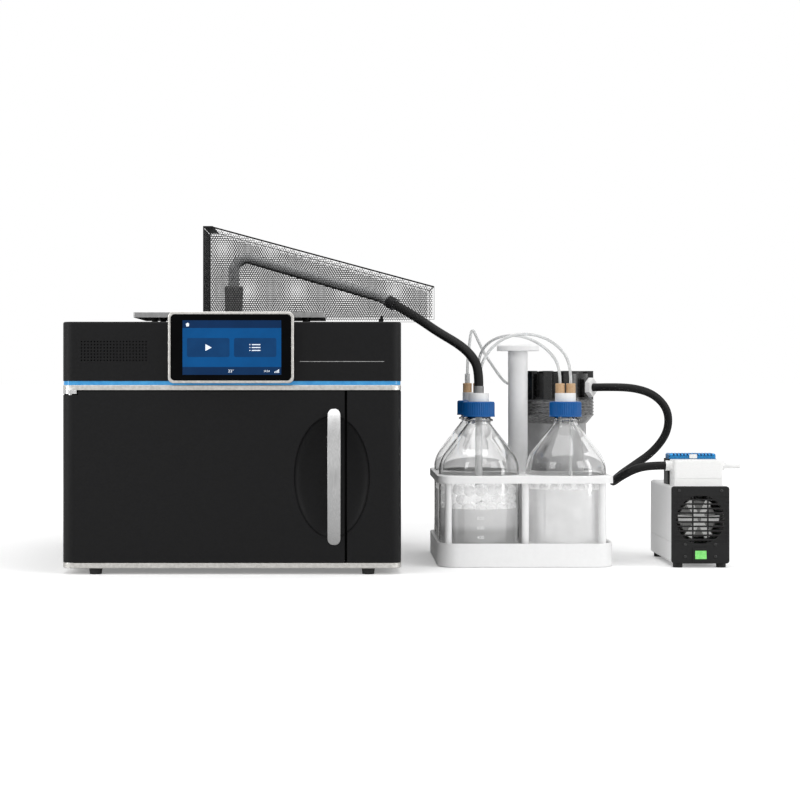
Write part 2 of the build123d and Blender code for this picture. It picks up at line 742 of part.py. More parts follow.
# Two magnetrons on the side of the cavity, each with its cooling fins
magnetron_pitch = 150.0
fin_count = 6
fin_pitch = 8.0
magnetron_plane = Plane(origin=(door_x + cavity_width / 2, cavity_front + cavity_depth / 2, cavity_z),
                        x_dir=(0, 1, 0), z_dir=(1, 0, 0))
with BuildPart() as magnetrons:
    with BuildSketch(magnetron_plane):
        with GridLocations(magnetron_pitch, 0, 2, 1):
            Circle(16)
    extrude(amount=84)
    with BuildSketch(magnetron_plane):
        with GridLocations(magnetron_pitch, 0, 2, 1):
            Rectangle(80, 90)
    extrude(amount=3)
    for fin in range(fin_count):
        with BuildSketch(magnetron_plane.offset(14 + fin * fin_pitch)):
            with GridLocations(magnetron_pitch, 0, 2, 1):
                Rectangle(76, 86)
        extrude(amount=1.5)
    with BuildSketch(magnetron_plane.offset(62)):
        with GridLocations(magnetron_pitch, 0, 2, 1):
            Rectangle(70, 60)
    extrude(amount=26)
magnetrons.part.label = "magnetrons"
export_step(magnetrons.part, "parts/magnetrons.step")

# Exhaust stack: flange on the housing, sleeve down to the cavity and tapered collar above
collar_flange_radius = 25.0
collar_flange_height = 4.0
collar_seat = furnace_top + 30
with BuildPart() as exhaust_collar:
    with BuildSketch(Plane(origin=(stack_x, stack_y, 0), x_dir=(1, 0, 0), z_dir=(0, -1, 0))):
        with BuildLine():
            Polyline(
                (quartz_radius - quartz_wall, cavity_top),
                (sleeve_radius, cavity_top),
                (sleeve_radius, furnace_top),
                (collar_flange_radius, furnace_top),
                (collar_flange_radius, furnace_top + collar_flange_height),
                (stack_foot_radius, furnace_top + collar_flange_height),
                (stack_radius, stack_top - 3),
                (stack_radius - 1.5, stack_top),
                (quartz_radius + fit_gap, stack_top),
                (quartz_radius + fit_gap, collar_seat),
                (quartz_radius - quartz_wall, collar_seat),
                close=True,
            )
        make_face()
    revolve(axis=Axis((stack_x, stack_y, 0), (0, 0, 1)))
exhaust_collar.part.label = "exhaust_collar"
export_step(exhaust_collar.part, "parts/exhaust_collar.step")

# Quartz exhaust tube: up out of the collar, over and down towards the hose
hose_start = Vector(*exhaust_hose_route[0])
hose_heading = (Vector(*exhaust_hose_route[1]) - hose_start).normalized()
quartz_tail = 34.0
quartz_bend = 24.0
with BuildPart() as quartz_tube:
    with BuildLine() as quartz_path:
        FilletPolyline(
            (stack_x, stack_y, collar_seat), (stack_x, stack_y, quartz_peak),
            hose_start - hose_heading * quartz_tail, hose_start, radius=quartz_bend)
    with BuildSketch(level(stack_x, stack_y, collar_seat)):
        Circle(quartz_radius)
        Circle(quartz_radius - quartz_wall, mode=Mode.SUBTRACT)
    sweep()
quartz_tube.part.label = "quartz_tube"
export_step(quartz_tube.part, "parts/quartz_tube.step")

# Guard over the hot tube: folded sheet with a sloping roof, open below, on four short legs
guard_x = left_x + guard_left
guard_y = front_y + guard_front
guard_z = furnace_top + guard_lift
leg_size = 12.0
leg_inset_x = 26.0
with BuildPart() as guard_cage:
    with BuildSketch(facing(guard_x, guard_y, guard_z)) as guard_profile:
        with BuildLine():
            Polyline(
                (0, 0), (guard_width, 0), (guard_width, guard_right_height),
                (guard_flat, guard_left_height), (0, guard_left_height), close=True)
        make_face()
    extrude(amount=-guard_depth)
    offset(amount=-guard_sheet, openings=guard_cage.faces().sort_by(Axis.Z)[0])
    with BuildSketch(level(guard_x, guard_y, furnace_top)):
        for leg_y in (leg_size / 2, guard_depth - leg_size / 2):
            with Locations((leg_inset_x, leg_y), (furnace_right - guard_x - leg_inset_x, leg_y)):
                Rectangle(leg_size, leg_size)
        with Locations((guard_width / 2, guard_depth / 2)):
            Rectangle(guard_width * 2, guard_depth - 2 * guard_sheet, mode=Mode.SUBTRACT)
    extrude(amount=guard_lift)
guard_cage.part.label = "guard_cage"
export_step(guard_cage.part, "parts/guard_cage.step")

# Aluminium rest plate on four black standoffs
plate_x = furnace_x + plate_shift
plate_y = front_y + plate_front + plate_depth / 2
plate_z = furnace_top + plate_lift
with BuildPart() as rest_plate:
    with BuildSketch(level(plate_x, plate_y, plate_z)):
        RectangleRounded(plate_width, plate_depth, 3)
    extrude(amount=plate_height)
    offset(amount=-sheet, openings=rest_plate.faces().sort_by(Axis.Z)[0])
rest_plate.part.label = "rest_plate"
export_step(rest_plate.part, "parts/rest_plate.step")

with BuildPart() as plate_standoffs:
    with BuildSketch(level(plate_x, plate_y, furnace_top)):
        with GridLocations(standoff_pitch_x, standoff_pitch_y, 2, 2):
            Circle(standoff_radius)
    extrude(amount=plate_lift + plate_height - sheet)
plate_standoffs.part.label = "plate_standoffs"
export_step(plate_standoffs.part, "parts/plate_standoffs.step")

# Carrier tray with one open pocket and bosses for the rods
rod_reach = carrier_side / 2 - rod_inset
rod_places = [
    (x * rod_reach, y * rod_reach) for x in (-1, 0, 1) for y in (-1, 0, 1) if (x, y) != (0, 0)]
with BuildPart() as carrier_tray:
    with BuildSketch(level(carrier_x, carrier_y, 0)):
        RectangleRounded(carrier_side, carrier_side, tray_radius)
    extrude(amount=tray_height)
    chamfer(carrier_tray.edges().group_by(Axis.Z)[0], length=2)
    with BuildSketch(level(carrier_x, carrier_y, tray_floor)):
        RectangleRounded(carrier_side - 2 * tray_wall, carrier_side - 2 * tray_wall, tray_radius - tray_wall)
    extrude(amount=tray_height, mode=Mode.SUBTRACT)
carrier_tray.part.label = "carrier_tray"
export_step(carrier_tray.part, "parts/carrier_tray.step")

# Retaining ring plate round the bottles
with BuildPart() as carrier_ring:
    with BuildSketch(level(carrier_x, carrier_y, ring_bottom)):
        RectangleRounded(carrier_side, carrier_side, tray_radius - 12)
        with GridLocations(bottle_pitch, bottle_pitch, 2, 2):
            Circle(bottle_radius + ring_clearance, mode=Mode.SUBTRACT)
        Circle(post_radius + seat_gap, mode=Mode.SUBTRACT)
    extrude(amount=ring_thickness)
    fillet(carrier_ring.faces().sort_by(Axis.Z)[-1].outer_wire().edges(), radius=1.2)
carrier_ring.part.label = "carrier_ring"
export_step(carrier_ring.part, "parts/carrier_ring.step")

with BuildPart() as carrier_rods:
    with BuildSketch(level(carrier_x, carrier_y, tray_floor)):
        with Locations(*rod_places):
            Circle(rod_radius)
    extrude(amount=ring_bottom - tray_floor)
carrier_rods.part.label = "carrier_rods"
export_step(carrier_rods.part, "parts/carrier_rods.step")

# Carrying post with its round grip
with BuildPart() as carrier_handle:
    with BuildSketch(level(carrier_x, carrier_y, tray_floor)):
        Circle(post_radius)
    extrude(amount=post_top - tray_floor)
    with BuildSketch(level(carrier_x, carrier_y, post_top)):
        Circle(disc_radius)
    extrude(amount=disc_thickness)
    fillet(carrier_handle.edges().group_by(Axis.Z)[-1], radius=3)
carrier_handle.part.label = "carrier_handle"
export_step(carrier_handle.part, "parts/carrier_handle.step")

# Blown glass absorber bottles with a domed shoulder and a screw neck
inner_radius = bottle_radius - bottle_wall


def bottle(place, node):
    x, y = place
    dome_mid = ((bottle_radius + neck_radius) / 2 + 9, (body_height + shoulder_height) / 2 + 11)
    inner_mid = (dome_mid[0] - bottle_wall * 0.8, dome_mid[1] - bottle_wall * 0.8)
    with BuildPart() as glass:
        with BuildSketch(Plane(origin=(x, y, tray_floor), x_dir=(1, 0, 0), z_dir=(0, -1, 0))):
            with BuildLine():
                foot = Line((0, 0), (bottle_radius - bottle_base_radius, 0))
                heel = RadiusArc(foot @ 1, (bottle_radius, bottle_base_radius), -bottle_base_radius)
                side = Line(heel @ 1, (bottle_radius, body_height))
                dome = ThreePointArc(side @ 1, dome_mid, (neck_radius, shoulder_height))
                rise = Line(dome @ 1, (neck_radius, shoulder_height + 3))
                ring_foot = Line(rise @ 1, (pour_ring_radius, shoulder_height + 4.5))
                ring_side = Line(ring_foot @ 1, (pour_ring_radius, shoulder_height + 6.5))
                ring_top = Line(ring_side @ 1, (neck_radius, shoulder_height + 8))
                neck = Line(ring_top @ 1, (neck_radius, neck_top))
                lip = Line(neck @ 1, (neck_bore, neck_top))
                bore = Line(lip @ 1, (neck_bore, shoulder_height - 1))
                inner_dome = ThreePointArc(bore @ 1, inner_mid, (inner_radius, body_height))
                inner_side = Line(inner_dome @ 1, (inner_radius, bottle_base_radius))
                inner_heel = RadiusArc(inner_side @ 1, (inner_radius - bottle_base_radius + bottle_wall, bottle_wall),
                                       bottle_base_radius - bottle_wall)
                punt = Line(inner_heel @ 1, (0, bottle_wall * 1.6))
                Line(punt @ 1, foot @ 0)
            make_face()
        revolve(axis=Axis((x, y, 0), (0, 0, 1)))
    glass.part.label = node
    export_step(glass.part, f"parts/{node}.step")


def screw_cap(place, node):
    # ribbed ring that turns on the neck and holds the insert down
    x, y = place
    bottom = cap_top - cap_height
    with BuildPart() as cap:
        with BuildSketch(level(x, y, bottom)):
            Circle(cap_radius)
        extrude(amount=cap_height)
        with BuildSketch(level(x, y, bottom + 3)):
            with PolarLocations(cap_radius, cap_rib_count):
                Rectangle(2 * cap_rib_depth, 2.0)
        extrude(amount=cap_height - 5, mode=Mode.SUBTRACT)
        with BuildSketch(level(x, y, bottom)):
            Circle(cap_radius + 0.6)
            Circle(cap_radius - 1, mode=Mode.SUBTRACT)
        extrude(amount=2.2)
        with BuildSketch(level(x, y, bottom)):
            Circle(cap_radius - cap_wall)
        extrude(amount=cap_height - cap_top_wall, mode=Mode.SUBTRACT)
        with BuildSketch(level(x, y, bottom)):
            Circle(insert_radius + seat_gap)
        extrude(amount=cap_height, mode=Mode.SUBTRACT)
        chamfer(cap.faces().sort_by(Axis.Z)[-1].outer_wire().edges(), length=1.2)
    cap.part.label = node
    export_step(cap.part, f"parts/{node}.step")


bottle_places = {"front_left": near_left, "front_right": near_right, "back_left": far_left}
for place_name, place in bottle_places.items():
    bottle(place, "bottle_" + place_name)
    screw_cap(place, "cap_" + place_name)

# White inserts: plug in the neck, flange under the cap and the part that stands above it
outlet_place = (tube_a_route[-1][0] - near_left[0], tube_a_route[-1][1] - near_left[1])
bottle_ports = {
    "front_left": [(*outlet_place, tube_radius), (0, 0, inlet_tube_radius)],
    "front_right": [(-nut_offset, 0, tube_radius), (nut_offset, 0, tube_radius)],
    "back_left": [(-nut_offset, 0, tube_radius), (nut_offset, 0, tube_radius)],
}
plug_length = 9.0
with BuildPart() as cap_inserts:
    for place_name, (x, y) in bottle_places.items():
        with BuildSketch(level(x, y, rim_z - plug_length)):
            Circle(neck_bore - seat_gap)
        extrude(amount=plug_length)
        with BuildSketch(level(x, y, rim_z)):
            Circle(flange_radius)
        extrude(amount=insert_flange)
        with BuildSketch(level(x, y, rim_z)):
            Circle(insert_radius)
        extrude(amount=insert_top - rim_z)
        for port_x, port_y, radius in bottle_ports[place_name]:
            with BuildSketch(level(x + port_x, y + port_y, rim_z - plug_length)):
                Circle(radius + fit_gap)
            extrude(amount=insert_top - rim_z + plug_length, mode=Mode.SUBTRACT)
cap_inserts.part.label = "cap_inserts"
export_step(cap_inserts.part, "parts/cap_inserts.step")

# Compression nuts on the tubes
with BuildPart() as tube_nuts:
    for x, y in (near_right, far_left):
        with BuildSketch(level(x, y, insert_top)):
            with GridLocations(2 * nut_offset, 0, 2, 1):
                Circle(nut_radius)
                Circle(tube_radius + fit_gap, mode=Mode.SUBTRACT)
        extrude(amount=nut_height)
    chamfer(tube_nuts.faces().sort_by(Axis.Z)[-4:].edges().filter_by(GeomType.CIRCLE).group_by(SortBy.RADIUS)[-1],
            length=0.8)
tube_nuts.part.label = "tube_nuts"
export_step(tube_nuts.part, "parts/tube_nuts.step")

# Dip tubes: the inlets reach down into the liquid, the outlets end above it
inlet_end = tray_floor + 22
outlet_end = tray_floor + 215
nut_top = insert_top + nut_height
dip_tube_ends = [
    (near_left, (0, 0), inlet_tube_radius, inlet_end, insert_top),
    (near_left, outlet_place, tube_radius, outlet_end, insert_top),
    (near_right, (-nut_offset, 0), tube_radius, outlet_end, nut_top),
    (near_right, (nut_offset, 0), tube_radius, inlet_end, nut_top),
    (far_left, (-nut_offset, 0), tube_radius, outlet_end, nut_top),
    (far_left, (nut_offset, 0), tube_radius, inlet_end, nut_top),
]
with BuildPart() as dip_tubes:
    for (x, y), (shift_x, shift_y), radius, low, high in dip_tube_ends:
        with BuildSketch(level(x + shift_x, y + shift_y, low)):
            Circle(radius)
        extrude(amount=high - low)
dip_tubes.part.label = "dip_tubes"
export_step(dip_tubes.part, "parts/dip_tubes.step")

# Grey couplings at both ends of the exhaust hose
cuff_radius = quartz_radius + 1.6
cuff_length = 15.0
with BuildPart() as hose_couplings:
    with BuildSketch(level(*near_left, insert_top)):
        Circle(ferrule_radius)
    extrude(amount=ferrule_height)
    with BuildSketch(level(*near_left, insert_top + 2)):
        with PolarLocations(ferrule_radius, 24):
            Rectangle(0.9, 0.9)
    extrude(amount=ferrule_height - 4, mode=Mode.SUBTRACT)
    with BuildSketch(Plane(origin=hose_start, z_dir=hose_heading)):
        Circle(cuff_radius)
        Circle(quartz_radius + fit_gap, mode=Mode.SUBTRACT)
    extrude(amount=-cuff_length)
hose_couplings.part.label = "hose_couplings"
export_step(hose_couplings.part, "parts/hose_couplings.step")


def hose(node, radius, route):
    # a plain round hose of straight runs joined by tangent arcs
    start = Vector(*route[0])
    with BuildPart() as tube:
        with BuildLine():
            FilletPolyline(*route, radius=corner_radii(node, radius, route))
        with BuildSketch(Plane(origin=start, z_dir=Vector(*route[1]) - start)):
            Circle(radius)
        sweep()
    hose_length(node, tube.part, radius)
    tube.part.label = node
    export_step(tube.part, f"parts/{node}.step")


hose("exhaust_hose", exhaust_hose_radius, exhaust_hose_route)
hose("suction_hose", suction_hose_radius, suction_hose_route)
hose("transfer_tube_a", tube_radius, tube_a_route)
hose("transfer_tube_b", tube_radius, tube_b_route)
hose("transfer_tube_c", tube_radius, tube_c_route)

# Filter bowl: smoke clear, with a threaded shoulder under the head
filter_x, filter_y = filter_place
filter_axis = Axis((filter_x, filter_y, 0), (0, 0, 1))
filter_section = Plane(origin=(filter_x, filter_y, 0), x_dir=(1, 0, 0), z_dir=(0, -1, 0))
bowl_heel = 18.0
bowl_thread_radius = filter_core_radius
with BuildPart() as filter_bowl:
    with BuildSketch(filter_section):
        with BuildLine():
            base = Line((0, tray_floor), (bowl_radius - bowl_heel, tray_floor))
            heel = RadiusArc(base @ 1, (bowl_radius - 2, tray_floor + bowl_heel), -bowl_heel)
            side = Line(heel @ 1, (bowl_radius, bowl_shoulder))
            flare = Line(side @ 1, (bowl_thread_radius, bowl_shoulder + 9))
            thread = Line(flare @ 1, (bowl_thread_radius, head_bottom))
            lip = Line(thread @ 1, (bowl_thread_radius - bowl_wall, head_bottom))
            inside = Line(lip @ 1, (bowl_thread_radius - bowl_wall, bowl_shoulder + 9))
            inner_side = Line(inside @ 1, (bowl_radius - bowl_wall, bowl_shoulder - 2))
            well = Line(inner_side @ 1, (bowl_radius - bowl_wall - 2, tray_floor + bowl_heel))
            inner_heel = Line(well @ 1, (bowl_radius - bowl_heel, tray_floor + bowl_wall))
            bed = Line(inner_heel @ 1, (0, tray_floor + bowl_wall))
            Line(bed @ 1, base @ 0)
        make_face()
    revolve(axis=filter_axis)
filter_bowl.part.label = "filter_bowl"
export_step(filter_bowl.part, "parts/filter_bowl.step")

with BuildPart() as filter_cartridge:
    with BuildSketch(level(filter_x, filter_y, tray_floor + bowl_wall)):
        Circle(cartridge_radius)
    extrude(amount=head_bottom - tray_floor - bowl_wall)
    fillet(filter_cartridge.edges().group_by(Axis.Z)[0], radius=3)
filter_cartridge.part.label = "filter_cartridge"
export_step(filter_cartridge.part, "parts/filter_cartridge.step")

# Filter head: knurled lock ring below, lobed cover above, with a boss for the outlet
head_top = head_bottom + head_height
lock_rib_count = 40
port_turn = math.radians(port_angle)
port_heading = Vector(math.cos(port_turn), math.sin(port_turn), 0)
port_plane = Plane(origin=Vector(filter_x, filter_y, port_height) + port_heading * filter_core_radius,
                   x_dir=(0, 0, 1), z_dir=port_heading)
boss_size = 34.0
inlet_boss_size = 22.0
inlet_side = Plane(origin=(filter_x - filter_core_radius, filter_y, left_port_height),
                   x_dir=(0, 1, 0), z_dir=(-1, 0, 0))
lobe_middle = (filter_radius + filter_core_radius) / 2 - 1
lobe_angles = [port_angle + (index + 0.5) * 360 / lobe_count for index in range(1, lobe_count - 1)]
lobe_angles = [angle for angle in lobe_angles if abs(angle - 180) > 20]
with BuildPart() as filter_head:
    with BuildSketch(level(filter_x, filter_y, head_bottom)):
        Circle(filter_core_radius)
    extrude(amount=head_height)
    with BuildSketch(level(filter_x, filter_y, lock_bottom)):
        Circle(lock_radius)
        with PolarLocations(lock_radius, lock_rib_count):
            Rectangle(4, 4, mode=Mode.SUBTRACT)
        Circle(bowl_thread_radius + seat_gap, mode=Mode.SUBTRACT)
    extrude(amount=head_bottom - lock_bottom)
    with BuildSketch(level(filter_x, filter_y, head_bottom)):
        Circle(lock_radius - 2)
    extrude(amount=4)
    with BuildSketch(level(filter_x, filter_y, head_bottom)):
        for angle in lobe_angles:
            with PolarLocations(lobe_middle, 1, start_angle=angle):
                RectangleRounded(filter_radius - filter_core_radius + 4, lobe_width, 2)
    extrude(amount=head_height + lobe_rise)
    with BuildSketch(level(filter_x, filter_y, head_top)):
        Circle(filter_core_radius - 14)
    extrude(amount=lobe_rise - 1)
    with BuildSketch(port_plane.offset(-6)):
        RectangleRounded(boss_size, boss_size, 4)
    extrude(amount=port_reach - port_hex_thickness - filter_core_radius + 6)
    with BuildSketch(inlet_side.offset(-6)):
        RectangleRounded(inlet_boss_size, inlet_boss_size, 3)
    extrude(amount=filter_radius - filter_core_radius + 6)
filter_head.part.label = "filter_head"
export_step(filter_head.part, "parts/filter_head.step")

# White hose ports: filter outlet hexagon, filter inlet, pump inlet collar and outlet nozzle
pump_head_left = pump_head_x - head_width / 2
pump_head_right = pump_head_x + head_width / 2
outward_left = Plane(origin=(pump_head_left, port_line_y, port_line_height), x_dir=(0, 1, 0), z_dir=(-1, 0, 0))
outward_right = Plane(origin=(pump_head_right, port_line_y, port_line_height), x_dir=(0, 1, 0), z_dir=(1, 0, 0))
nozzle_tip = pump_left + pump_width + nozzle_overhang
filter_inlet = Plane(origin=(filter_x - left_port_reach, filter_y, left_port_height), x_dir=(0, 1, 0), z_dir=(1, 0, 0))
with BuildPart() as hose_ports:
    with BuildSketch(port_plane.offset(port_reach - port_hex_thickness - filter_core_radius)):
        RegularPolygon(port_hex_radius, 6)
    extrude(amount=port_hex_thickness)
    with BuildSketch(filter_inlet):
        RegularPolygon(7.5, 6)
    extrude(amount=left_port_reach - filter_radius)
    with BuildSketch(outward_left):
        Circle(inlet_collar_radius)
    extrude(amount=pump_head_left - suction_hose_route[-1][0])
    with BuildSketch(outward_right):
        RegularPolygon(outlet_hex_radius, 6)
    extrude(amount=outlet_hex_thickness)
    with BuildSketch(outward_right.offset(outlet_hex_thickness)):
        Circle(nozzle_radius)
    extrude(amount=nozzle_tip - pump_head_right - outlet_hex_thickness)
    with BuildSketch(outward_right.offset(outlet_hex_thickness)):
        Circle(nozzle_bore)
    extrude(amount=nozzle_tip - pump_head_right, mode=Mode.SUBTRACT)
hose_ports.part.label = "hose_ports"
export_step(hose_ports.part, "parts/hose_ports.step")

# Pump case: a two part moulded shell with a seam, open at the front
case_front = pump_y + pump_panel_thickness
case_length = pump_depth - pump_panel_thickness
with BuildPart() as pump_case:
    with BuildSketch(facing(pump_x, case_front, pump_foot_height + pump_height / 2)):
        RectangleRounded(pump_width, pump_height, 5)
    extrude(amount=-case_length)
    fillet(pump_case.faces().sort_by(Axis.Y)[-1].edges(), radius=3)
    with BuildSketch(facing(pump_x, case_front, pump_foot_height + pump_height / 2)):
        RectangleRounded(pump_width - 2 * pump_wall, pump_height - 2 * pump_wall, 3)
    extrude(amount=pump_wall - case_length, mode=Mode.SUBTRACT)
    with BuildSketch(level(pump_x, case_front + case_length / 2, pump_seam_height)):
        Rectangle(pump_width + 1, case_length + 1)
        Rectangle(pump_width - 1.2, case_length - 1.2, mode=Mode.SUBTRACT)
    extrude(amount=1.2, mode=Mode.SUBTRACT)
pump_case.part.label = "pump_case"
export_step(pump_case.part, "parts/pump_case.step")

# Front panel of the pump: slatted round grille, grooves carried across, and the switch frame
switch_height = 21.5
slat_count = int(2 * grille_radius / slat_pitch)
pump_switch_plane = facing(pump_x, pump_y, switch_height)
with BuildPart() as pump_panel:
    with BuildSketch(facing(pump_x, case_front, pump_foot_height + pump_height / 2)):
        RectangleRounded(pump_width, pump_height, 5)
    extrude(amount=pump_panel_thickness)
    chamfer(pump_panel.faces().sort_by(Axis.Y)[0].edges(), length=1)
    with BuildSketch(facing(pump_x, pump_y, grille_height)):
        with GridLocations(0, slat_pitch, 1, slat_count + 1):
            Rectangle(pump_width - 8, slat_pitch - slat_height)
    extrude(amount=-0.8, mode=Mode.SUBTRACT)
    with BuildSketch(facing(pump_x, pump_y, grille_height)):
        with GridLocations(0, slat_pitch, 1, slat_count + 1):
            Rectangle(pump_width, slat_pitch - slat_height)
        Circle(grille_radius, mode=Mode.INTERSECT)
        with GridLocations(2 * grille_radius / 3.2, 0, 2, 1):
            Rectangle(2, 2 * grille_radius, mode=Mode.SUBTRACT)
    extrude(amount=-2 * pump_panel_thickness, mode=Mode.SUBTRACT)
    add(rocker_frame(pump_switch_plane))
    add(rocker_well(pump_switch_plane), mode=Mode.SUBTRACT)
pump_panel.part.label = "pump_front_panel"
export_step(pump_panel.part, "parts/pump_front_panel.step")

rocker("pump_rocker", (pump_x, pump_y - bezel_proud, switch_height), -1)

# Pump motor on the rear wall, its shaft carrying the cooling fan behind the grille
pump_fan_depth = 12.0
pump_fan_y = case_front + 6
motor_front = pump_fan_y + pump_fan_depth + 5
motor_back = pump_y + pump_depth - pump_wall
with BuildPart() as pump_motor:
    with BuildSketch(facing(pump_x, motor_back, grille_height)):
        Circle(pump_motor_radius)
    extrude(amount=motor_back - motor_front)
    with BuildSketch(facing(pump_x, motor_front, grille_height)):
        Circle(shaft_radius)
    extrude(amount=motor_front - pump_fan_y + 1)
    with BuildSketch(facing(pump_x, motor_back - 30, grille_height)):
        with PolarLocations(pump_motor_radius, 18):
            Rectangle(4, 2.4)
    extrude(amount=motor_back - 60 - motor_front)
pump_motor.part.label = "pump_motor"
export_step(pump_motor.part, "parts/pump_motor.step")

fan_wheel("pump_fan", pump_x, pump_fan_y, grille_height, pump_fan_radius, 11.0, pump_fan_depth, 6, 34)

# Pump head: white valve block in front, dark flange plate behind it and the blue clamp on top
head_y = pump_y + head_front
with BuildPart() as pump_head:
    with BuildSketch(level(pump_head_x, head_y + head_depth / 2, pump_top)):
        RectangleRounded(head_width, head_depth, 4)
    extrude(amount=pump_head_height)
    fillet(pump_head.faces().sort_by(Axis.Z)[-1].edges(), radius=2)
    with BuildSketch(level(pump_head_x, head_y + head_depth / 2, pump_top + pump_head_height * 0.28)):
        Rectangle(head_width + 1, head_depth + 1)
        Rectangle(head_width - 1, head_depth - 1, mode=Mode.SUBTRACT)
    extrude(amount=0.6, mode=Mode.SUBTRACT)
pump_head.part.label = "pump_head"
export_step(pump_head.part, "parts/pump_head.step")

flange_y = head_y + head_depth
with BuildPart() as pump_flange:
    with BuildSketch(level(pump_head_x - 1, flange_y + flange_depth / 2, pump_top)):
        RectangleRounded(head_width + 3, flange_depth, 3)
    extrude(amount=pump_head_height)
pump_flange.part.label = "pump_flange"
export_step(pump_flange.part, "parts/pump_flange.step")

with BuildPart() as pump_clamp:
    with BuildSketch(level(pump_head_x - 1, flange_y + flange_depth / 2, pump_top + pump_head_height)):
        RectangleRounded(head_width - 2, flange_depth - 4, 3)
    extrude(amount=clamp_height)
    chamfer(pump_clamp.faces().sort_by(Axis.Z)[-1].edges(), length=2)
    with BuildSketch(level(pump_head_x - 1, flange_y + flange_depth / 2, pump_top + pump_head_height + clamp_height)):
        with GridLocations((head_width - 12) / clamp_groove_count, 0, clamp_groove_count, 1):
            Rectangle(2.6, flange_depth)
    extrude(amount=-4, mode=Mode.SUBTRACT)
pump_clamp.part.label = "pump_clamp"
export_step(pump_clamp.part, "parts/pump_clamp.step")
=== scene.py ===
import bpy
import bmesh
import math
import random
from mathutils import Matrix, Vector


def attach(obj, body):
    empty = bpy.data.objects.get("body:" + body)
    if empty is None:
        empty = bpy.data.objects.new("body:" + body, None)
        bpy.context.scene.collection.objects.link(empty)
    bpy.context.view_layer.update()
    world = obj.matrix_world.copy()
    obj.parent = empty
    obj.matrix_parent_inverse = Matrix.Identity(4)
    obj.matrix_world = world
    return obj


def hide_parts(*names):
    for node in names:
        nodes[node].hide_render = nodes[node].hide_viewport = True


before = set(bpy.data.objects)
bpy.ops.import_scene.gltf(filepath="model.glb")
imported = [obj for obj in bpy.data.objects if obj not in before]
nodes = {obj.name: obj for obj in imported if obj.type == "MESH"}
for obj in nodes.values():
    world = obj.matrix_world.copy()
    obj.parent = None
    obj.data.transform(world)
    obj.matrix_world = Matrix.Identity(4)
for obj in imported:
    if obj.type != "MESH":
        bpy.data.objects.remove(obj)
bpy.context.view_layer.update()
mm = 0.001
print("frame loaded:", len(nodes), "nodes")


def srgb(code, alpha=1.0):
    # a hex colour as the eye sees it, turned to linear
    values = [int(code[i:i + 2], 16) / 255 for i in (1, 3, 5)]
    linear = [v / 12.92 if v <= 0.04045 else ((v + 0.055) / 1.055) ** 2.4 for v in values]
    return (*linear, alpha)


def addNode(tree, kind, inputs=None, **settings):
    # one node with its settings; an input is a plain value or the socket that feeds it
    made = tree.nodes.new(kind)
    for key, value in settings.items():
        setattr(made, key, value)
    for key, value in (inputs or {}).items():
        if isinstance(value, bpy.types.NodeSocket):
            tree.links.new(value, made.inputs[key])
        else:
            made.inputs[key].default_value = value
    return made


